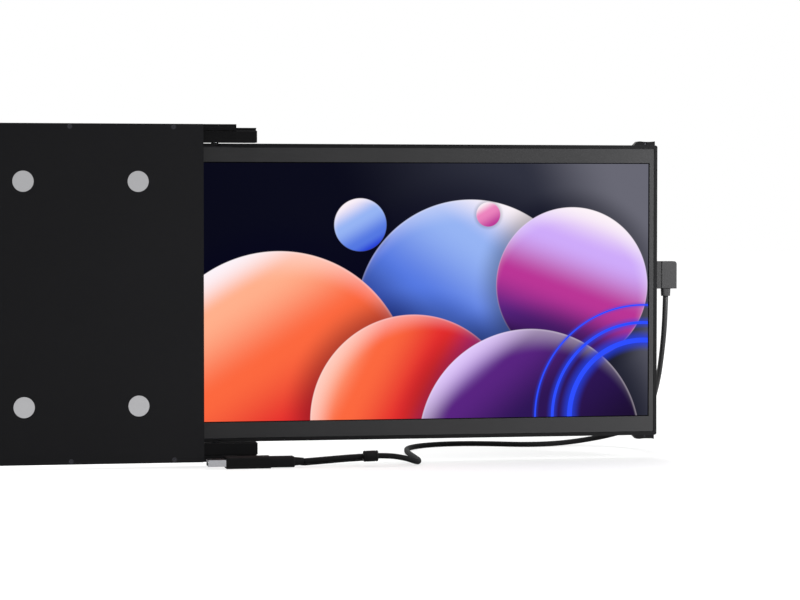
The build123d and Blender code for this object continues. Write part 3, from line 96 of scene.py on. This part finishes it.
# ---- cord: x from the pivot, y, and height above the desk. The points follow the tube in the part's source. Some are
# moved by a few millimetres towards the photo, and those under the frame lie flatter, to clear it when it slides in.
CABLE_DIAMETER = 3.8
DESK_BELOW_FRAME = 3.8
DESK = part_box("bottom_rail")[0].z / MM - DESK_BELOW_FRAME
SUNK_IN_DESK = 0.05
ON_DESK = CABLE_DIAMETER / 2 - SUNK_IN_DESK
CABLE_ROUTE = [
    (316.0, 13.8, 113.25),
    (315.6, 13.8, 95.3),
    (315.0, 18.5, 73.3),
    (315.6, 31.0, 51.3),
    (316.5, 54.0, 30.8),
    (314.0, 82.0, 15.8),
    (302.0, 103.0, 8.5),
    (283.0, 113.0, 3.9),
    (262.0, 112.0, ON_DESK),
    (238.0, 108.0, ON_DESK),
    (214.0, 121.0, ON_DESK),
    (190.0, 126.0, ON_DESK),
    (166.0, 119.0, ON_DESK),
    (148.5, 99.0, ON_DESK),
    (142.8, 72.0, ON_DESK),
    (141.2, 46.0, ON_DESK),
    (140.2, 24.0, ON_DESK),
    (139.4, 8.0, ON_DESK),
    (136.0, -6.5, ON_DESK),
    (127.0, -12.8, 5.4),
    (114.0, -12.4, 7.6),
    (91.0, -10.8, 6.8),
    (73.0, -9.2, 5.4),
    (57.0, -9.0, 4.3),
]
ROUTE_STEPS = 24
CORD_SIDES = 20

# ---- collar on the cord: place, and (distance from its end, radius) of its outline up to the first groove
COLLAR_FROM_PIVOT = 102.5
COLLAR_Y = -11.0
COLLAR_LENGTH = 10.0
COLLAR_SIDES = 40
COLLAR_OUTLINE = [(0.0, 2.1), (0.0, 3.1), (0.15, 3.45), (0.45, 3.65), (0.8, 3.7), (1.5, 3.7), (1.65, 3.5),
                  (1.95, 3.5), (2.1, 3.7)]

# ---- tether strap, from the collar to the adapter
STRAP_WIDTH = 3.0
STRAP_THICKNESS = 0.9
STRAP_BELOW_CABLE = 0.1
STRAP_FROM_COLLAR = 0.2
STRAP_BEFORE_CORD_END = 1.2
STRAP_FIRST_TURN = 2.2
STRAP_SECOND_TURN = 1.6
STRAP_RISE = 1.2
STRAP_PAST_PLUG = 1.6
STRAP_TURN_STEPS = 6
HOST_LINE_Y = -9.0
HOST_PLUG_HALF_WIDTH = 6.0
ADAPTER_RIGHT = 34.0

# ---- picture: window of the display from the pivot, with the panel's dark edge inside it
WINDOW_LEFT = -10.0
WINDOW_LOW = -87.6
WINDOW_WIDTH = 312.5
WINDOW_HEIGHT = 176.0
DARK_EDGE = 0.6
DARK_EDGE_SOFTNESS = 0.05

# ---- discs of the picture: lit limb, rim and shadow in shares of the radius, softness in picture heights, colours
LIMB_SHIFT = 0.16
LIMB_FROM, LIMB_TO, LIMB_LEVEL = 0.9, 1.17, 0.35
RIM_FROM, RIM_LEVEL = 0.975, 0.3
SHADOW_FROM, SHADOW_TO = 0.95, 1.3
DISC_SOFTNESS = 0.004
DISC_LIMB = (1.0, 0.9, 1.0)
DISC_SHADOW = (0.0, 0.0, 0.01)

# ---- finishes: cosines at which the edge tone begins and is full (paler edges are wear and painted highlight, darker ones painted shade), and heights above the desk between which the cord's jacket turns from dull to smooth
EDGE_WEAR_AND_LIGHT_BEGINS, EDGE_WEAR_AND_LIGHT_FULL = 0.995, 0.93
JACKET_DULL_TO = 12.0
JACKET_SMOOTH_FROM = 45.0


def make_camera():
    """The camera at the photograph's viewing angle."""
    data = bpy.data.cameras.new("camera")
    data.lens = CAMERA_LENS
    data.sensor_width = CAMERA_SENSOR
    data.clip_start = CAMERA_SEES_FROM
    data.clip_end = CAMERA_SEES_TO
    camera = bpy.data.objects.new("camera", data)
    bpy.context.scene.collection.objects.link(camera)
    camera.location = (PIVOT.x + CAMERA_FROM_PIVOT.x, PIVOT.y + CAMERA_FROM_PIVOT.y, CAMERA_FROM_PIVOT.z)
    forward = Vector((math.sin(CAMERA_YAW) * math.cos(CAMERA_PITCH),
                      math.cos(CAMERA_YAW) * math.cos(CAMERA_PITCH), math.sin(CAMERA_PITCH)))
    camera.rotation_euler = forward.to_track_quat("-Z", "Y").to_euler()
    bpy.context.scene.camera = camera


# ---- node graphs
class Graph:
    """A material's node graph, with short calls for the nodes it uses."""

    def __init__(self, name):
        self.material = bpy.data.materials.new(name)
        self.material.use_nodes = True
        self.nodes = self.material.node_tree.nodes
        self.links = self.material.node_tree.links
        self.shader = self.nodes["Principled BSDF"]

    def put(self, socket, value):
        """Links a socket to an output, or sets its value."""
        if isinstance(value, bpy.types.NodeSocket):
            self.links.new(value, socket)
        elif isinstance(value, tuple) and len(value) == 3 and socket.type == "RGBA":
            socket.default_value = (*value, 1.0)
        else:
            socket.default_value = value

    def set(self, **values):
        """Sets or links the shader's sockets, named with underscores for spaces."""
        for name, value in values.items():
            self.put(self.shader.inputs[name.replace("_", " ")], value)

    def position(self):
        """The point in the part's frame, in metres."""
        return self.nodes.new("ShaderNodeTexCoord").outputs["Object"]

    def split(self, vector):
        """A vector's x, y and z."""
        node = self.nodes.new("ShaderNodeSeparateXYZ")
        self.links.new(vector, node.inputs[0])
        return node.outputs[0], node.outputs[1], node.outputs[2]

    def math(self, operation, a, b=0.0, c=0.0):
        """One arithmetic node."""
        node = self.nodes.new("ShaderNodeMath")
        node.operation = operation
        for socket, value in zip(node.inputs, (a, b, c)):
            self.put(socket, value)
        return node.outputs[0]

    def smooth(self, value, low, high):
        """0 below low, 1 above high, smooth between."""
        node = self.nodes.new("ShaderNodeMapRange")
        node.interpolation_type = "SMOOTHSTEP"
        self.put(node.inputs["Value"], value)
        self.put(node.inputs["From Min"], low)
        self.put(node.inputs["From Max"], high)
        return node.outputs["Result"]

    def mix(self, share, a, b, blend="MIX"):
        """Blends two colours."""
        node = self.nodes.new("ShaderNodeMix")
        node.data_type = "RGBA"
        node.blend_type = blend
        self.put(node.inputs[0], share)
        self.put(node.inputs[6], a)
        self.put(node.inputs[7], b)
        return node.outputs[2]

    def ramp(self, value, stops):
        """A colour ramp of (position, colour) stops."""
        node = self.nodes.new("ShaderNodeValToRGB")
        node.color_ramp.interpolation = "EASE"
        elements = node.color_ramp.elements
        while len(elements) < len(stops):
            elements.new(0.5)
        for element, (stop, colour) in zip(elements, stops):
            element.position = stop
            element.color = (*colour, 1.0)
        self.put(node.inputs[0], value)
        return node.outputs[0]

    def noise(self, scale, detail, stretch=(1.0, 1.0, 1.0), roughness=0.5):
        """Noise in the part's frame; scale is in waves per metre."""
        mapping = self.nodes.new("ShaderNodeMapping")
        mapping.inputs["Scale"].default_value = stretch
        self.links.new(self.position(), mapping.inputs["Vector"])
        node = self.nodes.new("ShaderNodeTexNoise")
        node.inputs["Scale"].default_value = scale
        node.inputs["Detail"].default_value = detail
        node.inputs["Roughness"].default_value = roughness
        self.links.new(mapping.outputs[0], node.inputs["Vector"])
        return node.outputs["Fac"]

    def bump(self, height, strength, distance):
        """Adds a bump to the shader."""
        node = self.nodes.new("ShaderNodeBump")
        node.inputs["Strength"].default_value = strength
        node.inputs["Distance"].default_value = distance
        self.links.new(height, node.inputs["Height"])
        self.links.new(node.outputs[0], self.shader.inputs["Normal"])

    def edge_wear_and_painted_light(self, colour, edge_wear_and_light_tone, radius):
        """Mixes a colour in along sharp edges: paler as wear and painted highlight, darker as painted shade."""
        bevel = self.nodes.new("ShaderNodeBevel")
        bevel.inputs["Radius"].default_value = radius
        geometry = self.nodes.new("ShaderNodeNewGeometry")
        dot = self.nodes.new("ShaderNodeVectorMath")
        dot.operation = "DOT_PRODUCT"
        self.links.new(bevel.outputs[0], dot.inputs[0])
        self.links.new(geometry.outputs["Normal"], dot.inputs[1])
        # the edge colour is painted light: a paler one is partly wear and partly painted highlight, a darker one
        # painted shade
        share = self.smooth(dot.outputs["Value"], EDGE_WEAR_AND_LIGHT_BEGINS, EDGE_WEAR_AND_LIGHT_FULL)
        return self.mix(share, colour, edge_wear_and_light_tone)


def srgb(red, green, blue):
    """A linear colour from 0-255 display values."""
    def linear(value):
        share = value / 255
        return share / 12.92 if share <= 0.04045 else ((share + 0.055) / 1.055) ** 2.4
    return linear(red), linear(green), linear(blue)


def scaled(colour, factor):
    """A colour made lighter or darker."""
    return tuple(channel * factor for channel in colour)


# ---- finishes
def moulded(name, colour, roughness, specular=0.5, edge=1.0):
    """Spark-eroded plastic: fine grain, slow drifts of tone and gloss, and edges of another tone, which on the plug are
    darker as painted shade.
    """
    g = Graph(name)
    drift = g.noise(14.0, detail=4.0)
    tone = g.mix(drift, scaled(colour, 0.88), scaled(colour, 1.12))
    if edge != 1.0:
        # a darker edge tone is painted shade on rounded edges
        tone = g.edge_wear_and_painted_light(tone, scaled(colour, edge), radius=0.0006)
    fine = g.noise(2600.0, detail=2.0)
    g.set(Base_Color=tone, Specular_IOR_Level=specular)
    g.set(Roughness=g.math("MULTIPLY_ADD", fine, 0.16, roughness - 0.08))
    g.bump(fine, strength=0.06, distance=0.0002)
    return g.material


def anodised(name, colour, roughness, stretch=(1.0, 1.0, 1.0)):
    """Anodised aluminium: fine blasted or drawn grain, with paler edges that are partly wear and partly a painted
    highlight.
    """
    g = Graph(name)
    fine = g.noise(3200.0, detail=3.0, stretch=stretch)
    drift = g.noise(9.0, detail=3.0)
    tone = g.mix(drift, scaled(colour, 0.9), scaled(colour, 1.12))
    # paler edges: partly wear, partly a painted highlight in place of the low gloss
    edge_wear_and_light_tone = g.edge_wear_and_painted_light(tone, scaled(colour, 2.2), radius=0.00035)
    g.set(Base_Color=edge_wear_and_light_tone, Specular_IOR_Level=0.02)
    g.set(Roughness=g.math("MULTIPLY_ADD", fine, 0.2, roughness - 0.1))
    g.bump(fine, strength=0.05, distance=0.00015)
    return g.material


def metal(name, colour, roughness, stretch=(1.0, 1.0, 1.0)):
    """Bare metal with a drawn or turned grain."""
    g = Graph(name)
    fine = g.noise(2200.0, detail=3.0, stretch=stretch)
    tone = g.mix(fine, scaled(colour, 0.85), scaled(colour, 1.1))
    g.set(Base_Color=tone, Metallic=1.0)
    g.set(Roughness=g.math("MULTIPLY_ADD", fine, 0.25, roughness - 0.12))
    g.bump(fine, strength=0.05, distance=0.0001)
    return g.material


def soft_skin(g, colour):
    """The tone and grain that rubber and the cord's jacket share; gives the grain."""
    fine = g.noise(1800.0, detail=4.0)
    g.set(Base_Color=g.mix(g.noise(22.0, detail=2.0), scaled(colour, 0.85), scaled(colour, 1.2)))
    g.bump(fine, strength=0.08, distance=0.0002)
    return fine


def rubbery(name, colour, roughness):
    """Rubber or foam tape: matt, with a little sheen."""
    g = Graph(name)
    fine = soft_skin(g, colour)
    g.set(Specular_IOR_Level=0.05, Roughness=g.math("MULTIPLY_ADD", fine, 0.2, roughness - 0.1))
    return g.material


def jacket(name, colour):
    """Cord jacket: handled smooth where it hangs, and dulled where it lies on the desk."""
    g = Graph(name)
    fine = soft_skin(g, colour)
    height = g.split(g.position())[2]
    hanging = g.smooth(height, (DESK + JACKET_DULL_TO) * MM, (DESK + JACKET_SMOOTH_FROM) * MM)
    smoothness = g.math("MULTIPLY", hanging, 0.4)
    g.set(Specular_IOR_Level=g.math("MULTIPLY_ADD", hanging, 0.28, 0.05))
    g.set(Roughness=g.math("SUBTRACT", g.math("MULTIPLY_ADD", fine, 0.1, 0.72), smoothness))
    return g.material


def felt(name, colour):
    """Short felt."""
    g = Graph(name)
    fibres = g.noise(5200.0, detail=6.0, stretch=(1.0, 1.0, 2.5), roughness=0.7)
    tone = g.mix(fibres, scaled(colour, 0.6), scaled(colour, 1.5))
    g.set(Base_Color=tone, Roughness=0.95, Sheen_Weight=0.5, Sheen_Roughness=0.6)
    g.bump(fibres, strength=0.4, distance=0.0003)
    return g.material


def circuit_board(name):
    """Green solder mask with faint tracks."""
    g = Graph(name)
    x, _, z = g.split(g.position())
    waves = g.math("SINE", g.math("MULTIPLY", g.math("ADD", x, g.math("MULTIPLY", z, 0.35)), 5200.0))
    tracks = g.math("MULTIPLY", g.smooth(waves, 0.2, 0.6), g.smooth(g.noise(160.0, detail=2.0), 0.45, 0.55))
    tone = g.mix(tracks, srgb(14, 66, 38), srgb(30, 98, 58))
    g.set(Base_Color=tone, Roughness=0.35)
    g.bump(tracks, strength=0.15, distance=0.0001)
    return g.material


# ---- the picture on the display: overlapping discs in a made-up layout
def distance(g, point, centre):
    """Distance from a centre, and the offsets that make it."""
    dx = g.math("SUBTRACT", point[0], centre[0])
    dz = g.math("SUBTRACT", point[1], centre[1])
    return g.math("SQRT", g.math("ADD", g.math("MULTIPLY", dx, dx), g.math("MULTIPLY", dz, dz))), dx, dz


def disc(g, under, point, centre, radius, direction, stops, shadow=0.5):
    """Lays a shaded disc, with a lit limb and a soft shadow around it, over the picture so far."""
    far, dx, dz = distance(g, point, centre)
    across, up = math.cos(direction), math.sin(direction)
    along = g.math("ADD", g.math("MULTIPLY", dx, across), g.math("MULTIPLY", dz, up))
    fill = g.ramp(g.math("MULTIPLY_ADD", along, 0.5 / radius, 0.5), stops)
    towards_light = (centre[0] + across * radius * LIMB_SHIFT, centre[1] + up * radius * LIMB_SHIFT)
    inner = distance(g, point, towards_light)[0]
    crescent = g.math("MULTIPLY", g.smooth(inner, radius * LIMB_FROM, radius * LIMB_TO), LIMB_LEVEL)
    fill = g.mix(crescent, fill, DISC_LIMB, "SCREEN")
    rim = g.math("MULTIPLY", g.smooth(far, radius * RIM_FROM, radius), RIM_LEVEL)
    fill = g.mix(rim, fill, DISC_LIMB, "SCREEN")
    dark = g.math("MULTIPLY", g.smooth(far, radius * SHADOW_TO, radius * SHADOW_FROM), shadow)
    shaded = g.mix(dark, under, DISC_SHADOW)
    return g.mix(g.smooth(far, radius, radius - DISC_SOFTNESS), shaded, fill)


def ring(g, under, point, centre, radius, width, colour, glow):
    """Lays a glowing thin ring over the picture so far."""
    far = distance(g, point, centre)[0]
    off = g.math("ABSOLUTE", g.math("SUBTRACT", far, radius))
    soft = g.math("MULTIPLY", g.smooth(off, width * 4, 0.0), glow)
    glowing = g.mix(soft, under, colour)
    return g.mix(g.smooth(off, width, width * 0.6), glowing, scaled(colour, 1.6))


def make_picture(g, point):
    """The whole picture as a colour output; point is (x, z) in picture heights from the lower left corner."""
    night, navy, slate = srgb(4, 5, 22), srgb(20, 22, 44), srgb(104, 104, 116)
    pale, salmon, orange = srgb(252, 238, 246), srgb(255, 176, 140), srgb(252, 104, 62)
    red, crimson, ember = srgb(228, 44, 44), srgb(120, 8, 26), srgb(40, 4, 16)
    pink, magenta, purple, plum = srgb(236, 132, 190), srgb(186, 52, 150), srgb(88, 34, 128), srgb(24, 8, 46)
    lilac, sky, azure, blue = srgb(206, 170, 250), srgb(150, 180, 244), srgb(84, 120, 226), srgb(34, 62, 214)
    across = g.math("MULTIPLY_ADD", point[1], 0.22, g.math("MULTIPLY", point[0], 0.48))
    picture = g.ramp(across, [(0.0, night), (0.45, srgb(6, 7, 25)), (0.82, srgb(46, 48, 62)), (1.0, slate)])
    picture = disc(g, picture, point, (1.06, 0.40), 0.46, math.radians(-125),
                   [(0.0, pale), (0.22, sky), (0.55, azure), (0.85, blue), (1.0, navy)])
    picture = disc(g, picture, point, (1.47, 0.52), 0.31, math.radians(-110),
                   [(0.0, pale), (0.25, lilac), (0.55, magenta), (0.82, purple), (1.0, plum)])
    picture = disc(g, picture, point, (0.30, 0.14), 0.52, math.radians(-58),
                   [(0.0, pale), (0.14, salmon), (0.4, orange), (0.66, red), (0.88, crimson), (1.0, ember)])
    picture = disc(g, picture, point, (0.83, 0.0), 0.41, math.radians(-28),
                   [(0.0, salmon), (0.2, orange), (0.45, red), (0.7, magenta), (0.9, purple), (1.0, plum)])
    picture = disc(g, picture, point, (1.30, -0.10), 0.45, math.radians(-50),
                   [(0.0, lilac), (0.16, purple), (0.4, srgb(44, 18, 84)), (0.75, plum), (1.0, night)])
    for radius, width, glow in ((0.30, 0.012, 0.9), (0.37, 0.007, 0.7), (0.44, 0.004, 0.5)):
        picture = ring(g, picture, point, (1.76, 0.0), radius, width, blue, glow)
    picture = disc(g, picture, point, (0.62, 0.76), 0.105, math.radians(-60),
                   [(0.0, pale), (0.4, sky), (0.8, azure), (1.0, blue)], shadow=0.3)
    return disc(g, picture, point, (1.13, 0.80), 0.05, math.radians(-60),
                [(0.0, pale), (0.4, pink), (1.0, magenta)], shadow=0.3)


def lit_glass(name):
    """Lit display behind polished glass, with a dark edge round the picture."""
    g = Graph(name)
    x, _, z = g.split(g.position())
    left = PIVOT.x + (WINDOW_LEFT + DARK_EDGE) * MM
    low = (WINDOW_LOW + DARK_EDGE) * MM
    width = (WINDOW_WIDTH - 2 * DARK_EDGE) * MM
    height = (WINDOW_HEIGHT - 2 * DARK_EDGE) * MM
    from_left = g.math("SUBTRACT", x, left)
    from_low = g.math("SUBTRACT", z, low)
    picture = make_picture(g, (g.math("MULTIPLY", from_left, 1 / height), g.math("MULTIPLY", from_low, 1 / height)))
    edge = g.math("MINIMUM", from_left, g.math("SUBTRACT", width, from_left))
    edge = g.math("MINIMUM", edge, g.math("MINIMUM", from_low, g.math("SUBTRACT", height, from_low)))
    lit = g.smooth(edge, -DARK_EDGE_SOFTNESS * MM, DARK_EDGE_SOFTNESS * MM)
    g.set(Base_Color=g.mix(lit, srgb(2, 2, 2), srgb(2, 2, 3)), Roughness=0.12, Specular_IOR_Level=0.015)
    g.set(Emission_Color=g.mix(lit, (0.0, 0.0, 0.0), picture), Emission_Strength=1.0)
    return g.material


# ---- each slot's finish: the function that makes it, and its values after the name
FINISHES = {
    "plate_black": (moulded, srgb(30, 30, 32), 0.55, 0.08),
    "magnet_steel": (metal, srgb(168, 168, 170), 0.35),
    "felt_grey": (felt, srgb(60, 60, 63)),
    "rail_black": (anodised, srgb(27, 27, 28), 0.5, (0.02, 1.0, 1.0)),
    "cap_black": (moulded, srgb(28, 28, 30), 0.5, 0.08),
    "screw_black": (metal, srgb(52, 52, 56), 0.4),
    "slider_black": (anodised, srgb(27, 27, 28), 0.55),
    "steel": (metal, srgb(188, 190, 194), 0.3, (0.05, 1.0, 1.0)),
    "bushing_polymer": (moulded, srgb(26, 26, 27), 0.6, 0.08),
    "case_black": (anodised, srgb(33, 33, 34), 0.5),
    "bezel_grey": (moulded, srgb(59, 59, 60), 0.5, 0.08),
    "tape_black": (rubbery, srgb(20, 20, 20), 0.9),
    "display_glass": (lit_glass,),
    "guide_clear": (moulded, srgb(228, 232, 238), 0.2),
    "led_white": (moulded, srgb(238, 236, 214), 0.35),
    "flex_amber": (moulded, srgb(170, 104, 34), 0.3),
    "board_green": (circuit_board,),
    "chip_black": (moulded, srgb(30, 30, 30), 0.6),
    "port_steel": (metal, srgb(158, 160, 164), 0.25),
    "key_black": (moulded, srgb(40, 40, 42), 0.45),
    "bumper_rubber": (rubbery, srgb(22, 22, 23), 0.5),
    # the plug's edge tone of 0.35 is painted shade on its rounded edges, also on the strain relief that shares it
    "plug_grey": (moulded, srgb(55, 55, 56), 0.45, 0.15, 0.35),
    "cord_black": (jacket, srgb(27, 27, 28)),
}

# The strain relief at the monitor is as grey as its plug in the photo.
NODE_FINISH = {"plug_relief": "plug_grey"}


def dress_nodes():
    """Gives each CAD node the finish of its material slot."""
    made = {slot: build(slot, *values) for slot, (build, *values) in FINISHES.items()}
    for name, node in NODES.items():
        node.data.materials.clear()
        node.data.materials.append(made[NODE_FINISH.get(name, SLOTS[name])])
    return made


# ---- cord
def route_line():
    """The cord's route as a smooth spline's points, in metres."""
    data = bpy.data.curves.new("cord_route", "CURVE")
    data.dimensions = "3D"
    data.resolution_u = ROUTE_STEPS
    spline = data.splines.new("NURBS")
    spline.points.add(len(CABLE_ROUTE) - 1)
    for point, (x, y, z) in zip(spline.points, CABLE_ROUTE):
        point.co = (PIVOT.x + x * MM, y * MM, (DESK + z) * MM, 1.0)
    spline.order_u = 3
    spline.use_endpoint_u = True
    holder = bpy.data.objects.new("cord_route", data)
    bpy.context.scene.collection.objects.link(holder)
    bpy.context.view_layer.update()
    mesh = bpy.data.meshes.new_from_object(holder)
    points = [vertex.co.copy() for vertex in mesh.vertices]
    bpy.data.objects.remove(holder)
    return points


def ring_of(bm, centre, across, other, radius, sides):
    """A circle of vertices in the plane of two directions."""
    turns = [2 * math.pi * k / sides for k in range(sides)]
    return [bm.verts.new(centre + (across * math.cos(a) + other * math.sin(a)) * radius) for a in turns]


def place(name, mesh, finish):
    """An object in the scene from a mesh and its material."""
    piece = bpy.data.objects.new(name, mesh)
    bpy.context.scene.collection.objects.link(piece)
    mesh.materials.append(finish)
    return piece


def finish_mesh(name, bm, finish):
    """An object from mesh code, smooth where it bends gently."""
    bmesh.ops.recalc_face_normals(bm, faces=bm.faces)
    mesh = bpy.data.meshes.new(name)
    bm.to_mesh(mesh)
    bm.free()
    for face in mesh.polygons:
        face.use_smooth = True
    mesh.set_sharp_from_angle(angle=SHARP_ANGLE)
    return place(name, mesh, finish)


def tube_mesh(name, points, radius, sides):
    """A closed round tube along points, turned without twist."""
    bm = bmesh.new()
    tangent = (points[1] - points[0]).normalized()
    across = tangent.orthogonal().normalized()
    rings = []
    for i, point in enumerate(points):
        ahead = points[min(i + 1, len(points) - 1)] - points[max(i - 1, 0)]
        ahead.normalize()
        across = (across - ahead * across.dot(ahead)).normalized()
        rings.append(ring_of(bm, point, across, ahead.cross(across), radius, sides))
    for near, far in zip(rings, rings[1:]):
        for k in range(sides):
            bm.faces.new((near[k], near[(k + 1) % sides], far[(k + 1) % sides], far[k]))
    bm.faces.new(list(reversed(rings[0])))
    bm.faces.new(rings[-1])
    mesh = bpy.data.meshes.new(name)
    bm.to_mesh(mesh)
    bm.free()
    for face in mesh.polygons:
        face.use_smooth = True
    return mesh


def walk(points, start, end):
    """The stretch of a line between two lengths along it, with a point at each end."""
    stretch, run = [], 0.0
    for a, b in zip(points, points[1:]):
        step = (b - a).length
        for mark in (start, end):
            if run <= mark < run + step:
                stretch.append(a.lerp(b, (mark - run) / step))
        run += step
        if start < run < end:
            stretch.append(b)
    return stretch


def along_line(points, index):
    """Length of a line up to one of its points."""
    return sum((b - a).length for a, b in zip(points[:index], points[1:index + 1]))


def ring_at(bm, points, mark, radius, sides):
    """A ring of vertices round a line at a length along it."""
    here, ahead = walk(points, mark, mark + 0.2 * MM)[:2]
    forward = (ahead - here).normalized()
    across = forward.cross(UP).normalized()
    return ring_of(bm, here, across, across.cross(forward), radius, sides)


def make_collar(points, finish):
    """Moulded ring round the cord: rounded ends and a shallow groove near each."""
    centre_x = PIVOT.x + COLLAR_FROM_PIVOT * MM
    nearest = min(range(len(points)), key=lambda i: abs(points[i].x - centre_x) + abs(points[i].y - COLLAR_Y * MM))
    middle = along_line(points, nearest)
    profile = [(offset - COLLAR_LENGTH / 2, radius) for offset, radius in COLLAR_OUTLINE]
    profile += [(-offset, radius) for offset, radius in reversed(profile)]
    bm = bmesh.new()
    rings = [ring_at(bm, points, middle + offset * MM, radius * MM, COLLAR_SIDES) for offset, radius in profile]
    for near, far in zip(rings, rings[1:] + rings[:1]):
        for k in range(COLLAR_SIDES):
            after = (k + 1) % COLLAR_SIDES
            bm.faces.new((near[k], far[k], far[after], near[after]))
    piece = finish_mesh("collar", bm, finish)
    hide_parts("cable_collar")
    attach(piece, "carriage")
    return piece, middle


def make_strap(points, collar_middle, finish):
    """Tether band: along the cord's underside, then round behind the plug to the adapter."""
    whole = along_line(points, len(points) - 1)
    under = (CABLE_DIAMETER / 2 + STRAP_BELOW_CABLE + STRAP_THICKNESS / 2) * MM
    wide, thin = STRAP_WIDTH / 2 * MM, STRAP_THICKNESS / 2 * MM
    start = collar_middle + (COLLAR_LENGTH / 2 + STRAP_FROM_COLLAR) * MM
    run = walk(points, start, whole - STRAP_BEFORE_CORD_END * MM)
    stations = [(point - UP * under, BACK, UP) for point in run]
    last = stations[-1][0]
    behind = (HOST_LINE_Y + HOST_PLUG_HALF_WIDTH) * MM + thin * STRAP_PAST_PLUG
    turns = [k / STRAP_TURN_STEPS * math.pi / 2 for k in range(1, STRAP_TURN_STEPS + 1)]
    bend = STRAP_FIRST_TURN * MM
    for turn in turns:
        centre = Vector((last.x - math.sin(turn) * bend, last.y + (1 - math.cos(turn)) * bend, last.z))
        width = (BACK * math.cos(turn) + RIGHT * math.sin(turn)).normalized()
        stations.append((centre, width, UP))
    corner = stations[-1][0]
    bend = STRAP_SECOND_TURN * MM
    stations.append((Vector((corner.x, behind - bend, corner.z)), RIGHT, UP))
    for turn in turns:
        centre = Vector((corner.x - (1 - math.cos(turn)) * bend, behind - (1 - math.sin(turn)) * bend,
                         corner.z + math.sin(turn) * STRAP_RISE * MM))
        width = (RIGHT * math.cos(turn) + UP * math.sin(turn)).normalized()
        out = (UP * math.cos(turn) + BACK * math.sin(turn)).normalized()
        stations.append((centre, width, out))
    end, width, out = stations[-1]
    stations.append((Vector((PIVOT.x + ADAPTER_RIGHT * MM, end.y, end.z)), width, out))
    bm = bmesh.new()
    corners = ((-1, -1), (1, -1), (1, 1), (-1, 1))
    rings = [[bm.verts.new(centre + width * wide * a + out * thin * b) for a, b in corners]
             for centre, width, out in stations]
    for near, far in zip(rings, rings[1:]):
        for k in range(4):
            bm.faces.new((near[k], near[(k + 1) % 4], far[(k + 1) % 4], far[k]))
    bm.faces.new(rings[0])
    bm.faces.new(list(reversed(rings[-1])))
    piece = finish_mesh("strap", bm, finish)
    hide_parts("tether_strap")
    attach(piece, "carriage")
    return piece


def make_cord(finish):
    """The free cord, curving from the monitor to the laptop end, with its collar and strap."""
    points = route_line()
    piece = place("cord", tube_mesh("cord", points, CABLE_DIAMETER / 2 * MM, CORD_SIDES), finish)
    collar, collar_middle = make_collar(points, finish)
    strap = make_strap(points, collar_middle, finish)
    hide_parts("cable")
    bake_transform(piece)


# ---- floor, world and lamps
def seen_directly(g):
    """1 for what the camera sees straight, in gloss or through glass, and 0 for the light on the object."""
    path = g.nodes.new("ShaderNodeLightPath")
    mirrored = g.math("MAXIMUM", path.outputs["Is Glossy Ray"], path.outputs["Is Transmission Ray"])
    return g.math("MAXIMUM", path.outputs["Is Camera Ray"], mirrored)


class WorldGraph(Graph):
    """The world's node graph."""

    def __init__(self, world):
        self.nodes = world.node_tree.nodes
        self.links = world.node_tree.links
        self.shader = self.nodes["Background"]


def make_world():
    """White surroundings."""
    world = bpy.data.worlds.new("world")
    bpy.context.scene.world = world
    world.use_nodes = True
    g = WorldGraph(world)
    seen = seen_directly(g)
    g.set(Color=(1.0, 1.0, 1.0), Strength=g.math("MULTIPLY_ADD", seen, 1.0 - WORLD_LEVEL, WORLD_LEVEL))


def make_floor():
    """White desk that keeps the object's shadow and is plain white further away."""
    bpy.ops.mesh.primitive_plane_add(size=FLOOR_SIZE, location=(0.0, 0.0, DESK * MM))
    floor = bpy.context.object
    floor.name = "desk"
    g = Graph("desk")
    x, y, _ = g.split(g.position())
    aside = g.math("SUBTRACT", x, GLOW_CENTRE_X)
    reach = g.math("SQRT", g.math("ADD", g.math("MULTIPLY", aside, aside), g.math("MULTIPLY", y, y)))
    glow = g.math("MULTIPLY_ADD", g.smooth(reach, GLOW_NEAR, GLOW_FAR), 1.0 - FLOOR_GLOW, FLOOR_GLOW)
    g.set(Base_Color=(FLOOR_LIGHTNESS, FLOOR_LIGHTNESS, FLOOR_LIGHTNESS), Roughness=0.9, Specular_IOR_Level=0.0)
    g.set(Emission_Color=(1.0, 1.0, 1.0))
    g.set(Emission_Strength=g.math("MULTIPLY", glow, seen_directly(g)))
    floor.data.materials.append(g.material)


def make_lamps():
    """Square soft lamps over, behind and left of the object, and a small one close to its right."""
    for name, spot, aim, size, power in LAMPS:
        data = bpy.data.lights.new(name, "AREA")
        data.size = size
        data.energy = power
        lamp = bpy.data.objects.new(name, data)
        bpy.context.scene.collection.objects.link(lamp)
        lamp.location = spot
        towards = Vector((PIVOT.x + aim, 0.0, 0.0)) - Vector(spot)
        lamp.rotation_euler = towards.to_track_quat("-Z", "Y").to_euler()


bpy.context.scene.view_settings.view_transform = "Standard"
make_camera()
make_world()
make_floor()
make_lamps()
finishes = dress_nodes()
make_cord(finishes["cord_black"])
